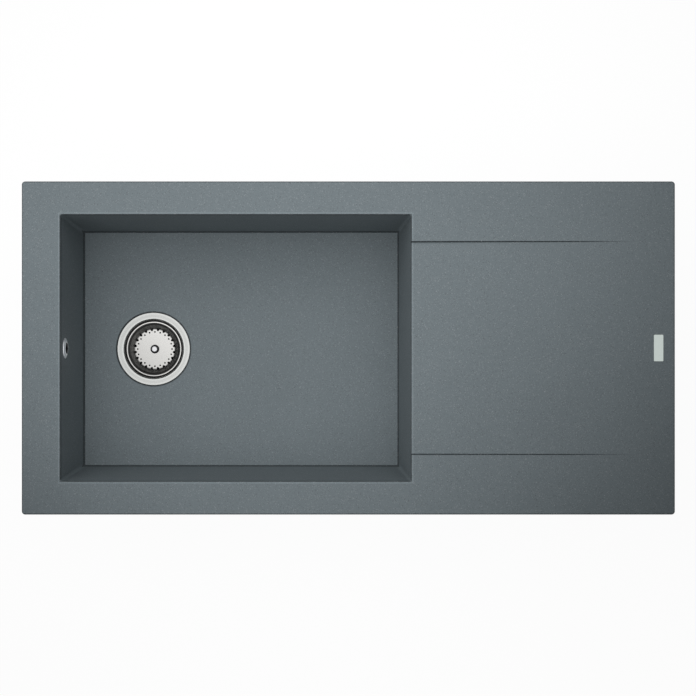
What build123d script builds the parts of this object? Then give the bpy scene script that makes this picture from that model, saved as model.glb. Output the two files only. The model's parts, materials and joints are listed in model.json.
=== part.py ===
from build123d import *
import math
import os

# Inset kitchen sink in cast granite composite: one large bowl on the left, a tapering drainer on
# the right, a basket strainer waste with a bowl overflow, and clips that hold it in a worktop.
#
# All sizes are in millimetres. The origin is the middle of the worktop cut-out at the level of
# the worktop's top face. +X runs along the sink towards the drainer end, +Y to the back, +Z up.

# ---- outline and rim -------------------------------------------------------------------------
SINK_LENGTH = 980.0
SINK_WIDTH = 500.0
OUTER_CORNER_RADIUS = 5.0
RIM_HEIGHT = 9.0              # deck above the worktop
RIM_EDGE_RADIUS = 2.4         # rounding of the deck's outer edge
RIM_FOOT_RADIUS = 0.6
RIM_LAP = 10.0                # how far the rim laps over the worktop on each side
WORKTOP_THICKNESS = 38.0      # what the clips are set for

# ---- bowl ------------------------------------------------------------------------------------
BOWL_LENGTH = 527.0           # opening at deck level
BOWL_DEPTH = 200.0            # deck to the drain seat
BOWL_FROM_LEFT = 57.6         # deck left of the opening
BOWL_FROM_LONG_SIDES = 49.75  # deck in front of the opening, and behind it
BOWL_DRAFT_DEG = 4.63
BOWL_CORNER_RADIUS = 4.0
BOWL_EDGE_RADIUS = 2.0        # rounding where the deck turns down into the bowl
FLOOR_CORNER_RADIUS = 6.0
FLOOR_EDGE_RADIUS = 3.0
FLOOR_FALL_RUN = 80.0         # the floor rises 1 in this, away from the drain
BOWL_WALL = 9.0
BOWL_UNDERSIDE = 9.0          # casting under the drain seat
SHELL_CORNER_RADIUS = 12.0
SHELL_EDGE_RADIUS = 8.0

# ---- drainer ---------------------------------------------------------------------------------
DRAINER_WIDTH = 320.0
DRAINER_DROP = 5.0            # below the deck where the drainer meets the bowl
DRAINER_FROM_END = 52.0       # deck right of the drainer
DRAINER_STEP_DEG = 22.0       # lean of the step beside the drainer
DRAINER_WALL = 8.0
DRAINER_RIM = 8.0             # how far the pan under the drainer reaches past it
RIB_WIDTH = 8.0
RIB_DROP = 12.0
LONG_RIB_SPACING = 110.0
LONG_RIB_COUNT = 3
CROSS_RIB_SPACING = 120.0
CROSS_RIB_COUNT = 3

# ---- tap hole recesses, to be opened from above when the tap is fitted -----------------------
TAP_HOLE_DIAMETER = 35.0
TAP_HOLE_FROM_LONG_SIDE = 45.0
TAP_HOLE_RIGHT_OF_BOWL = 50.5
TAP_HOLE_SKIN = 3.0

# ---- badge -----------------------------------------------------------------------------------
BADGE_WIDTH = 14.4
BADGE_LENGTH = 40.0
BADGE_THICKNESS = 1.3
BADGE_POCKET = 1.0
BADGE_CORNER_RADIUS = 0.6
BADGE_EDGE_CHAMFER = 0.35
BADGE_GAP = 0.2
BADGE_FROM_END = 24.6         # middle of the badge to the right end

# ---- rim seal --------------------------------------------------------------------------------
SEAL_STRIP_WIDTH = 5.0
SEAL_STRIP_HEIGHT = 2.0
SEAL_STRIP_GAP = 0.1

# ---- drain seat and strainer -----------------------------------------------------------------
DRAIN_FROM_BOWL_LEFT = 124.9
WASTE_HOLE_DIAMETER = 90.0
SEAT_DEPTH = 3.0
SEAT_GAP = 0.8
WASTE_HOLE_CHAMFER = 4.0
FLANGE_DIAMETER = 115.0
FLANGE_MOUTH_DIAMETER = 95.0
FLANGE_SEAL_THICKNESS = 1.4
FLANGE_SEAL_WIDTH = 8.0
SHEET = 0.7                   # stainless sheet of the cup and the basket
FLANGE_FALL = 0.7             # from the flange's outer edge in to its mouth
THROAT_DEPTH = 6.0            # bowl floor down to the end of the flared throat
CUP_BORE_DIAMETER = 88.2
CUP_LEDGE_DEPTH = 12.0        # bowl floor down to the ledge that takes the basket
CUP_LEDGE_WIDTH = 3.1
CUP_DEPTH = 44.5
CUP_FOOT_DIAMETER = 73.0
CUP_WINDOW_COUNT = 6
CUP_WINDOW_DIAMETER = 11.0
CUP_WINDOW_CIRCLE = 32.0

# ---- basket ----------------------------------------------------------------------------------
BASKET_BEAD_DIAMETER = 2.6
BASKET_BEAD_CIRCLE = 85.0
BASKET_TOP_DIAMETER = 80.0
BASKET_FOOT_DIAMETER = 65.4
BASKET_DEPTH = 28.0           # bowl floor down to the basket's floor
BASKET_SEAT_GAP = 0.3
BASKET_HOLE_COUNT = 20        # holes in each ring
BASKET_FLOOR_HOLE_DIAMETER = 2.4
BASKET_FLOOR_HOLE_CIRCLE = 54.5
BASKET_HEEL_HOLE_DIAMETER = 3.4
BASKET_WALL_HOLE_DIAMETER = 2.6
BASKET_WALL_ROWS = 4
BASKET_WALL_ROW_PITCH = 3.3
BASKET_TOP_ROW_DROP = 2.8     # ledge to the first row of holes

# ---- stopper ---------------------------------------------------------------------------------
BUSH_DIAMETER = 14.0
BUSH_FLANGE = 1.3
BUSH_NECK_DIAMETER = 8.0
BUSH_NECK_DROP = 1.6
SPINDLE_DIAMETER = 4.0
RUNNING_GAP = 0.05
KNOB_DIAMETER = 9.0
KNOB_HEIGHT = 8.0
KNOB_WAIST_DIAMETER = 6.0
KNOB_LIFT_ABOVE_BUSH = 2.6
STOPPER_SEAL_DIAMETER = 56.0
STOPPER_SEAL_BORE = 16.0
STOPPER_SEAL_THICKNESS = 3.0
STOPPER_PLATE_DIAMETER = 54.0
STOPPER_PLATE_THICKNESS = 1.5
STOPPER_SEAT_GAP = 0.3

# ---- waste body ------------------------------------------------------------------------------
BODY_SEAL_THICKNESS = 2.5
BODY_RING_DIAMETER = 116.0
BODY_RING_HEIGHT = 4.0
BODY_BORE_DIAMETER = 93.0
BODY_WALL = 2.5
BODY_CONE_DEPTH = 23.0
BODY_BELOW_CUP = 1.5          # cup floor down to the top of the cone
OUTLET_THREAD_DIAMETER = 47.8  # 1 1/2 inch pipe thread, over the crests
OUTLET_BORE_DIAMETER = 41.0
OUTLET_LENGTH = 33.0
HUB_DIAMETER = 17.0
HUB_HEIGHT = 16.0
HUB_TOP_GAP = 3.5             # cup floor down to the hub
HUB_SPOKE_COUNT = 3
HUB_SPOKE_WIDTH = 3.0
INSERT_DIAMETER = 10.0
INSERT_HEIGHT = 12.0
SCREW_DIAMETER = 6.0
SCREW_HEAD_DIAMETER = 11.0
SCREW_HEAD_HEIGHT = 2.4
SCREW_SLOT_WIDTH = 1.4
SCREW_SLOT_DEPTH = 1.2

# ---- overflow --------------------------------------------------------------------------------
OVERFLOW_DROP = 38.0          # deck down to the middle of the rosette
ROSETTE_DIAMETER = 31.0
ROSETTE_BORE = 17.0
ROSETTE_PROUD = 3.0
ROSETTE_FACE_DIAMETER = 21.0
ROSETTE_NECK_DIAMETER = 21.0
ROSETTE_NECK_REACH = 21.0
OVERFLOW_HOLE_GAP = 1.0
OVERFLOW_SEAL_THICKNESS = 2.0
OVERFLOW_SEAL_DIAMETER = 34.0
ELBOW_DIAMETER = 36.0
ELBOW_DEPTH = 34.0
ELBOW_WALL = 2.5
ELBOW_SOCKET_DEPTH = 11.0
THREAD_GAP = 0.05

# ---- hose and its union nuts -----------------------------------------------------------------
HOSE_PIPE_DIAMETER = 26.0     # threaded ends that the union nuts screw on to
HOSE_PIPE_BORE = 18.0
HOSE_PIPE_LENGTH = 12.0
HOSE_CLEAR_OF_CUTOUT = 18.5   # hose axis to the left edge of the cut-out
HOSE_CREST_DIAMETER = 22.0
HOSE_ROOT_DIAMETER = 19.4
HOSE_BORE_DIAMETER = 17.0
HOSE_RIB_PITCH = 4.0
HOSE_RIB_FLANK = 0.8
HOSE_RIB_CREST = 1.4
HOSE_CUFF_DIAMETER = 25.4
HOSE_CUFF_LENGTH = 3.0
HOSE_BEND_RADIUS = 64.0
HOSE_WASHER_THICKNESS = 2.0
HOSE_WASHER_DIAMETER = 25.0
BRANCH_DROP = 54.0            # bowl floor down to the branch's axis
BRANCH_REACH = 62.0           # drain axis to the end of the branch
NUT_DIAMETER = 33.0
NUT_LENGTH = 20.0
NUT_LIP = 3.0
NUT_GRIP_COUNT = 16
NUT_GRIP_DIAMETER = 2.4

# ---- worktop clips ---------------------------------------------------------------------------
CLIP_INSET = 14.0             # screw axis to the edge of the cut-out
LONG_SIDE_CLIP_SPACING = 330.0
SHORT_SIDE_CLIP_Y = -120.0
BOSS_SIZE = 18.0
BOSS_CORNER_RADIUS = 2.0
BOSS_DROP = 18.0
ANCHOR_DIAMETER = 9.0
ANCHOR_LENGTH = 20.0
ANCHOR_COLLAR_DIAMETER = 12.0
ANCHOR_COLLAR_HEIGHT = 1.2
ANCHOR_FIT_GAP = 0.05
CLIP_SCREW_DIAMETER = 5.0
CLIP_SCREW_ENGAGEMENT = 8.0
CLIP_SCREW_HEAD_DIAMETER = 10.0
CLIP_SCREW_HEAD_HEIGHT = 3.5
CLIP_HEX_ACROSS = 8.0
JAW_SHEET = 2.0
JAW_WIDTH = 16.0
JAW_REACH = 30.0              # screw axis to the jaw's tip
JAW_PAD = 7.0
JAW_LEG = 14.0
JAW_HEEL_REACH = 9.0
JAW_HEEL = 8.0
JAW_SLACK = 6.0               # jaw tip below the worktop before the screw is tightened
JAW_SEAT_GAP = 0.3

# ---- places worked out from the sizes above --------------------------------------------------
BOWL_WIDTH = SINK_WIDTH - 2 * BOWL_FROM_LONG_SIDES
BOWL_LEFT_X = BOWL_FROM_LEFT - SINK_LENGTH / 2
BOWL_X = BOWL_LEFT_X + BOWL_LENGTH / 2
BOWL_RIGHT_X = BOWL_LEFT_X + BOWL_LENGTH
DRAFT = math.tan(math.radians(BOWL_DRAFT_DEG))
FLOOR_Z = RIM_HEIGHT - BOWL_DEPTH
UNDERSIDE_Z = FLOOR_Z - BOWL_UNDERSIDE
DRAIN_X = BOWL_LEFT_X + DRAIN_FROM_BOWL_LEFT
DRAINER_END_X = SINK_LENGTH / 2 - DRAINER_FROM_END
BADGE_X = SINK_LENGTH / 2 - BADGE_FROM_END
TAP_HOLE_X = BOWL_RIGHT_X + TAP_HOLE_RIGHT_OF_BOWL
TAP_HOLE_Y = SINK_WIDTH / 2 - TAP_HOLE_FROM_LONG_SIDE
CUTOUT_LENGTH = SINK_LENGTH - 2 * RIM_LAP
CUTOUT_WIDTH = SINK_WIDTH - 2 * RIM_LAP
WASTE_HOLE_RADIUS = WASTE_HOLE_DIAMETER / 2
SEAT_RADIUS = FLANGE_DIAMETER / 2 + SEAT_GAP
DRAIN = Location((DRAIN_X, 0, FLOOR_Z))

OVERFLOW_Z = RIM_HEIGHT - OVERFLOW_DROP
OVERFLOW_X = BOWL_LEFT_X + OVERFLOW_DROP * DRAFT
OVERFLOW = Plane(
    origin=(OVERFLOW_X, 0, OVERFLOW_Z),
    x_dir=(0, 1, 0),
    z_dir=(math.cos(math.radians(BOWL_DRAFT_DEG)), 0, math.sin(math.radians(BOWL_DRAFT_DEG))),
)
WALL_ALONG_OVERFLOW = BOWL_WALL * math.cos(math.radians(BOWL_DRAFT_DEG))
ELBOW_FACE = -WALL_ALONG_OVERFLOW - OVERFLOW_SEAL_THICKNESS
HOSE_X = -CUTOUT_LENGTH / 2 + HOSE_CLEAR_OF_CUTOUT
HOSE_TOP_PIPE_Z = OVERFLOW_Z - ELBOW_DIAMETER / 2 - HOSE_PIPE_LENGTH - NUT_LENGTH / 2
BRANCH_Z = FLOOR_Z - BRANCH_DROP
BRANCH_END_X = DRAIN_X - BRANCH_REACH

HOSE_TOP = (HOSE_X, 0, HOSE_TOP_PIPE_Z - HOSE_WASHER_THICKNESS)
HOSE_CORNER = (HOSE_X, 0, BRANCH_Z)
HOSE_FOOT = (BRANCH_END_X - HOSE_WASHER_THICKNESS, 0, BRANCH_Z)

CLIP_Y = CUTOUT_WIDTH / 2 - CLIP_INSET
CLIP_X = CUTOUT_LENGTH / 2 - CLIP_INSET
# Each clip: screw axis x, y, and the angle about Z of its parked jaw. Swinging the jaw a quarter
# turn anticlockwise from there points it out under the worktop.
CLIPS = [
    (-LONG_SIDE_CLIP_SPACING, CLIP_Y, 0),
    (0, CLIP_Y, 0),
    (LONG_SIDE_CLIP_SPACING, CLIP_Y, 0),
    (-LONG_SIDE_CLIP_SPACING, -CLIP_Y, 180),
    (0, -CLIP_Y, 180),
    (LONG_SIDE_CLIP_SPACING, -CLIP_Y, 180),
    (-CLIP_X, SHORT_SIDE_CLIP_Y, 90),
    (CLIP_X, SHORT_SIDE_CLIP_Y, -90),
]
ANCHOR_TOP_Z = ANCHOR_LENGTH - BOSS_DROP
JAW_TIP_Z = -WORKTOP_THICKNESS - JAW_SLACK
JAW_BASE_Z = JAW_TIP_Z - JAW_LEG
CLIP_SCREW_TIP_Z = CLIP_SCREW_ENGAGEMENT - BOSS_DROP
CLIP_SCREW_HEAD_Z = JAW_BASE_Z - JAW_SEAT_GAP


# ---- small helpers ---------------------------------------------------------------------------
def rounded_slab(length, width, radius, low, high, x=0.0, y=0.0):
    """Upright slab with rounded corners between the levels low and high."""
    return extrude(Plane((x, y, low)) * RectangleRounded(length, width, radius), high - low)


def turned(*outline):
    """Solid turned about Z from a closed outline of (radius, height) points."""
    return revolve(Plane.XZ * make_face(Polyline(*outline, close=True)), Axis.Z)


def ring(outer_diameter, inner_diameter, low, high):
    """Flat ring about Z between two levels."""
    disc = Circle(outer_diameter / 2) - Circle(inner_diameter / 2)
    return extrude(Plane((0, 0, low)) * disc, high - low)


def rod(diameter, low, high):
    """Cylinder about Z between two levels."""
    return extrude(Plane((0, 0, low)) * Circle(diameter / 2), high - low)


def spun_sheet(points, radii, thickness, side):
    """Sheet turned about Z: one face follows the rounded path, the other lies a thickness aside."""
    path = FilletPolyline(*points, radius=radii).wire()
    strip = path.offset_2d(thickness, kind=Kind.INTERSECTION, side=side, closed=True)
    return revolve(Plane.XZ * make_face(strip.edges()), Axis.Z)


def round_about(piece, count, phase_deg=0.0):
    """Copies of a piece evenly spaced about Z."""
    return [Rot(0, 0, phase_deg + 360.0 * i / count) * piece for i in range(count)]


# ---- sink casting ----------------------------------------------------------------------------
def bowl_half_size(depth, offset=0.0):
    """Half length and half width of the bowl at a depth below the deck, offset outwards."""
    run = depth * DRAFT
    return BOWL_LENGTH / 2 - run + offset, BOWL_WIDTH / 2 - run + offset


def bowl_section(depth, corner_radius, offset=0.0):
    """Rounded rectangle of the bowl at a depth below the deck, offset outwards."""
    half_length, half_width = bowl_half_size(depth, offset)
    plane = Plane((BOWL_X, 0, RIM_HEIGHT - depth))
    return plane * RectangleRounded(2 * half_length, 2 * half_width, corner_radius)


def bowl_cavity():
    """Space inside the bowl: drafted walls, and a floor that falls on all sides to the drain."""
    sections = [bowl_section(0, BOWL_CORNER_RADIUS), bowl_section(BOWL_DEPTH, FLOOR_CORNER_RADIUS)]
    cavity = loft(sections, ruled=True)
    reach = BOWL_LENGTH + BOWL_WIDTH
    rise = (reach - SEAT_RADIUS) / FLOOR_FALL_RUN
    floor = turned((0, -1), (reach, -1), (reach, rise), (SEAT_RADIUS, 0), (0, 0))
    cavity -= DRAIN * floor
    lowest_wall_edge = FLOOR_Z + rise
    floor_edges = cavity.edges().filter_by(
        lambda edge: FLOOR_Z + 0.1 < edge.center().Z < lowest_wall_edge
    )
    return fillet(floor_edges, FLOOR_EDGE_RADIUS)


def bowl_shell():
    """Outside of the bowl, from the worktop's level down to its flat underside."""
    depth_at_top = RIM_HEIGHT
    depth_at_foot = RIM_HEIGHT - UNDERSIDE_Z
    sections = [
        bowl_section(depth_at_top, SHELL_CORNER_RADIUS, BOWL_WALL),
        bowl_section(depth_at_foot, SHELL_CORNER_RADIUS, BOWL_WALL),
    ]
    shell = loft(sections, ruled=True)
    return fillet(shell.faces().sort_by(Axis.Z)[0].edges(), SHELL_EDGE_RADIUS)


def drainer_pan():
    """Thickened deck under the drainer, with stiffening ribs below it."""
    low = RIM_HEIGHT - DRAINER_DROP - DRAINER_WALL
    left = BOWL_RIGHT_X
    right = DRAINER_END_X + DRAINER_RIM
    middle = (left + right) / 2
    width = DRAINER_WIDTH + 2 * DRAINER_RIM
    pan = Pos(middle, 0, low / 2) * Box(right - left, width, -low)
    for i in range(LONG_RIB_COUNT):
        y = (i - (LONG_RIB_COUNT - 1) / 2) * LONG_RIB_SPACING
        pan += Pos(middle, y, low - RIB_DROP / 2) * Box(right - left, RIB_WIDTH, RIB_DROP)
    for i in range(CROSS_RIB_COUNT):
        x = right - RIB_WIDTH / 2 - i * CROSS_RIB_SPACING
        pan += Pos(x, 0, low - RIB_DROP / 2) * Box(RIB_WIDTH, width, RIB_DROP)
    return pan


def drainer_cut():
    """Space above the drainer: a wedge, deepest at the bowl, whose sides lean outwards."""
    lean = math.tan(math.radians(DRAINER_STEP_DEG))
    run = DRAINER_END_X - BOWL_RIGHT_X
    slope = DRAINER_DROP / run
    start = BOWL_RIGHT_X - 2 * BOWL_WALL
    deepest = DRAINER_DROP + 2 * BOWL_WALL * slope
    above = 2.0
    half = DRAINER_WIDTH / 2
    outline = Polyline(
        (-(half - deepest * lean), -deepest),
        (half - deepest * lean, -deepest),
        (half + above * lean, above),
        (-(half + above * lean), above),
        close=True,
    )
    across = Plane(origin=(start, 0, RIM_HEIGHT), x_dir=(0, 1, 0), z_dir=(1, 0, 0))
    trough = extrude(across * make_face(outline), DRAINER_END_X - start)
    panel = Plane(origin=(DRAINER_END_X, 0, RIM_HEIGHT), x_dir=(0, 1, 0), z_dir=(-slope, 0, 1))
    return split(trough, bisect_by=panel, keep=Keep.TOP)


def clip_boss(x, y):
    """Cast boss under the deck that takes one clip anchor."""
    return rounded_slab(BOSS_SIZE, BOSS_SIZE, BOSS_CORNER_RADIUS, -BOSS_DROP, 0, x, y)


def anchor_hole(x, y):
    """Blind hole for one clip anchor, open downwards."""
    return Pos(x, y, 0) * rod(ANCHOR_DIAMETER + 2 * ANCHOR_FIT_GAP, -BOSS_DROP - 1, ANCHOR_TOP_Z + 1)


def rim_groove(width_gap=0.0):
    """Ring around the underside of the rim: the seal's groove, or the seal with a gap."""
    width = SEAL_STRIP_WIDTH - 2 * width_gap
    length = SINK_LENGTH - RIM_LAP
    depth = SINK_WIDTH - RIM_LAP
    outer = rounded_slab(length + width, depth + width, OUTER_CORNER_RADIUS, 0, SEAL_STRIP_HEIGHT)
    inner = rounded_slab(length - width, depth - width, OUTER_CORNER_RADIUS / 2, 0, SEAL_STRIP_HEIGHT)
    return outer - inner


def drain_seat():
    """Recess for the strainer flange and the waste hole below it."""
    r_hole = WASTE_HOLE_RADIUS
    return turned(
        (0, 10),
        (SEAT_RADIUS, 10),
        (SEAT_RADIUS, -SEAT_DEPTH),
        (r_hole + WASTE_HOLE_CHAMFER, -SEAT_DEPTH),
        (r_hole, -SEAT_DEPTH - WASTE_HOLE_CHAMFER),
        (r_hole, -BOWL_UNDERSIDE - 1),
        (0, -BOWL_UNDERSIDE - 1),
    )


def sink_body():
    """The one-piece granite composite casting."""
    deck = rounded_slab(SINK_LENGTH, SINK_WIDTH, OUTER_CORNER_RADIUS, 0, RIM_HEIGHT)
    deck = fillet(deck.faces().sort_by(Axis.Z)[-1].edges(), RIM_EDGE_RADIUS)
    deck = fillet(deck.faces().sort_by(Axis.Z)[0].edges(), RIM_FOOT_RADIUS)
    body = deck + bowl_shell() + drainer_pan()
    for x, y, _ in CLIPS:
        body += clip_boss(x, y)
    body -= bowl_cavity()
    opening = body.faces().filter_by(Plane.XY).sort_by(Axis.Z)[-1].inner_wires()[0]
    body = fillet(opening.edges(), BOWL_EDGE_RADIUS)
    body -= drainer_cut()
    panel_lip = [
        edge
        for edge in body.edges()
        if abs(edge.length - DRAINER_WIDTH) < 2 * DRAINER_DROP
        and abs(edge.center().X - BOWL_RIGHT_X) < DRAINER_DROP
        and 0 < edge.center().Z < RIM_HEIGHT
    ]
    body = fillet(panel_lip, BOWL_EDGE_RADIUS)
    body -= DRAIN * drain_seat()
    hole = ROSETTE_NECK_DIAMETER + 2 * OVERFLOW_HOLE_GAP
    body -= OVERFLOW * rod(hole, -2 * BOWL_WALL, BOWL_WALL)
    pocket = rounded_slab(
        BADGE_WIDTH + 2 * BADGE_GAP,
        BADGE_LENGTH + 2 * BADGE_GAP,
        BADGE_CORNER_RADIUS + BADGE_GAP,
        RIM_HEIGHT - BADGE_POCKET,
        RIM_HEIGHT + 1,
        BADGE_X,
    )
    body -= pocket
    body -= rim_groove()
    for side in (1, -1):
        recess = rod(TAP_HOLE_DIAMETER, -1, RIM_HEIGHT - TAP_HOLE_SKIN)
        body -= Pos(TAP_HOLE_X, side * TAP_HOLE_Y, 0) * recess
    for x, y, _ in CLIPS:
        body -= anchor_hole(x, y)
    return body


def badge_plate():
    """Plain metal plate in its pocket in the deck."""
    low = RIM_HEIGHT - BADGE_POCKET
    plate = rounded_slab(
        BADGE_WIDTH, BADGE_LENGTH, BADGE_CORNER_RADIUS, low, low + BADGE_THICKNESS, BADGE_X
    )
    return chamfer(plate.faces().sort_by(Axis.Z)[-1].edges(), BADGE_EDGE_CHAMFER)


# ---- strainer: flange and cup, basket, stopper, about the drain axis with the bowl floor at 0 --
CUP_RADIUS = CUP_BORE_DIAMETER / 2
LEDGE_RADIUS = CUP_RADIUS - CUP_LEDGE_WIDTH
LEDGE_FALL = 0.6
FLANGE_SKIRT_Z = -SEAT_DEPTH + FLANGE_SEAL_THICKNESS
FLANGE_TOP_Z = -0.25


def strainer_cup():
    """Flange, throat, ledge and perforated foot of the strainer, spun from one sheet."""
    rim = FLANGE_DIAMETER / 2
    path = [
        (rim, FLANGE_SKIRT_Z),
        (rim, FLANGE_TOP_Z),
        (FLANGE_MOUTH_DIAMETER / 2, FLANGE_TOP_Z - FLANGE_FALL),
        (CUP_RADIUS, -THROAT_DEPTH),
        (CUP_RADIUS, -CUP_LEDGE_DEPTH),
        (LEDGE_RADIUS, -CUP_LEDGE_DEPTH - LEDGE_FALL),
        (CUP_FOOT_DIAMETER / 2, -CUP_DEPTH),
        (SCREW_DIAMETER / 2 + 0.3, -CUP_DEPTH),
    ]
    cup = spun_sheet(path, [0.8, 2.0, 3.0, 0.8, 0.8, 2.5], SHEET, Side.LEFT)
    window = Pos(CUP_WINDOW_CIRCLE / 2, 0, 0) * rod(CUP_WINDOW_DIAMETER, -CUP_DEPTH - 3, -CUP_DEPTH + 3)
    return DRAIN * (cup - round_about(window, CUP_WINDOW_COUNT, 30))


def flange_seal():
    """Flat seal between the flange and its seat."""
    outer = FLANGE_DIAMETER - 1
    return DRAIN * ring(outer, outer - 2 * FLANGE_SEAL_WIDTH, -SEAT_DEPTH, FLANGE_SKIRT_Z)


BASKET_HEEL_RADIUS = BASKET_FOOT_DIAMETER / 2
BASKET_BEAD_Z = -CUP_LEDGE_DEPTH + BASKET_SEAT_GAP + BASKET_BEAD_DIAMETER / 2


def strainer_basket():
    """Perforated basket with a rolled rim that sits on the ledge of the cup."""
    bead_radius = BASKET_BEAD_CIRCLE / 2
    path = [
        (bead_radius, BASKET_BEAD_Z),
        (BASKET_TOP_DIAMETER / 2, BASKET_BEAD_Z),
        (BASKET_HEEL_RADIUS, -BASKET_DEPTH),
        (BUSH_NECK_DIAMETER / 2 + 0.1, -BASKET_DEPTH),
    ]
    basket = spun_sheet(path, [0.8, 2.0], SHEET, Side.LEFT)
    bead = Plane.XZ * Pos(bead_radius, BASKET_BEAD_Z) * Circle(BASKET_BEAD_DIAMETER / 2)
    basket += revolve(bead, Axis.Z)
    step = 180.0 / BASKET_HOLE_COUNT
    floor_hole = Pos(BASKET_FLOOR_HOLE_CIRCLE / 2, 0, -BASKET_DEPTH) * Cylinder(
        BASKET_FLOOR_HOLE_DIAMETER / 2, 4
    )
    heel_hole = Pos(BASKET_HEEL_RADIUS - 0.4, 0, -BASKET_DEPTH + 0.3) * Rot(0, -45, 0) * Cylinder(
        BASKET_HEEL_HOLE_DIAMETER / 2, 6
    )
    holes = round_about(floor_hole, BASKET_HOLE_COUNT) + round_about(heel_hole, BASKET_HOLE_COUNT, step)
    for row in range(BASKET_WALL_ROWS):
        z = -CUP_LEDGE_DEPTH - BASKET_TOP_ROW_DROP - row * BASKET_WALL_ROW_PITCH
        wall_hole = Pos(BASKET_HEEL_RADIUS + 3, 0, z) * Rot(0, 90, 0) * Cylinder(
            BASKET_WALL_HOLE_DIAMETER / 2, 14
        )
        holes += round_about(wall_hole, BASKET_HOLE_COUNT, step * (row % 2))
    return DRAIN * (basket - holes)


def basket_bush():
    """Guide bush snapped into the middle of the basket."""
    bore = SPINDLE_DIAMETER / 2 + RUNNING_GAP
    neck = BUSH_NECK_DIAMETER / 2
    low = -BASKET_DEPTH - SHEET - BUSH_NECK_DROP
    crown = -BASKET_DEPTH + BUSH_FLANGE
    flange = BUSH_DIAMETER / 2
    return DRAIN * turned(
        (bore, low),
        (neck, low),
        (neck, -BASKET_DEPTH),
        (flange, -BASKET_DEPTH),
        (flange, crown - 0.5),
        (flange - 0.5, crown),
        (bore, crown),
    )


STOPPER_SEAL_Z = -CUP_DEPTH + STOPPER_SEAT_GAP
STOPPER_PLATE_Z = STOPPER_SEAL_Z + STOPPER_SEAL_THICKNESS
KNOB_Z = -BASKET_DEPTH + BUSH_FLANGE + KNOB_LIFT_ABOVE_BUSH


def stopper_seal():
    """Rubber ring that covers the outlet windows of the cup."""
    seal = ring(STOPPER_SEAL_DIAMETER, STOPPER_SEAL_BORE, STOPPER_SEAL_Z, STOPPER_PLATE_Z)
    return DRAIN * seal


def stopper_plate():
    """Stainless plate that carries the stopper seal."""
    plate = ring(
        STOPPER_PLATE_DIAMETER,
        SPINDLE_DIAMETER,
        STOPPER_PLATE_Z,
        STOPPER_PLATE_Z + STOPPER_PLATE_THICKNESS,
    )
    return DRAIN * chamfer(plate.faces().sort_by(Axis.Z)[-1].outer_wire().edges(), 0.5)


def stopper_spindle():
    """Pin from the plate up through the bush into the knob, riveted over under the plate."""
    pin = rod(SPINDLE_DIAMETER - 0.02, STOPPER_PLATE_Z, KNOB_Z + KNOB_HEIGHT / 2)
    collar_z = STOPPER_PLATE_Z + STOPPER_PLATE_THICKNESS
    return DRAIN * (pin + rod(SPINDLE_DIAMETER + 3, collar_z, collar_z + 1))


def stopper_knob():
    """Domed pull knob with a waist for the fingers."""
    r_top = KNOB_DIAMETER / 2
    r_waist = KNOB_WAIST_DIAMETER / 2
    crown = KNOB_Z + KNOB_HEIGHT
    waist_z = KNOB_Z + KNOB_HEIGHT * 0.35
    outline = [
        (0, KNOB_Z),
        (r_top - 0.4, KNOB_Z),
        (r_waist, waist_z),
        (r_top, waist_z + 1.6),
        (r_top, crown - 2.2),
        (r_top - 2.2, crown),
        (0, crown),
    ]
    edge = FilletPolyline(*outline, radius=[0, 0.5, 1.0, 0.6, 0.8, 1.6, 0], close=True)
    knob = revolve(Plane.XZ * make_face(edge), Axis.Z)
    return DRAIN * (knob - rod(SPINDLE_DIAMETER, KNOB_Z - 1, KNOB_Z + KNOB_HEIGHT / 2))


# ---- waste body under the bowl, about the drain axis with the bowl floor at 0 -----------------
BODY_TOP_Z = -BOWL_UNDERSIDE - BODY_SEAL_THICKNESS
CONE_TOP_Z = -CUP_DEPTH - BODY_BELOW_CUP
CONE_FOOT_Z = CONE_TOP_Z - BODY_CONE_DEPTH
OUTLET_FOOT_Z = CONE_FOOT_Z - OUTLET_LENGTH
HUB_TOP_Z = -CUP_DEPTH - HUB_TOP_GAP
BODY_BORE_RADIUS = BODY_BORE_DIAMETER / 2
OUTLET_BORE_RADIUS = OUTLET_BORE_DIAMETER / 2


def body_seal():
    """Seal between the waste body and the underside of the bowl."""
    return DRAIN * ring(BODY_RING_DIAMETER, BODY_BORE_DIAMETER + 1, BODY_TOP_Z, -BOWL_UNDERSIDE)


def funnel(bore_radius, neck_radius, top):
    """Filled funnel outline of the waste body, inside or outside of its wall."""
    return turned(
        (0, top),
        (bore_radius, top),
        (bore_radius, CONE_TOP_Z),
        (neck_radius, CONE_FOOT_Z),
        (neck_radius, OUTLET_FOOT_Z),
        (0, OUTLET_FOOT_Z),
    )


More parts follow.
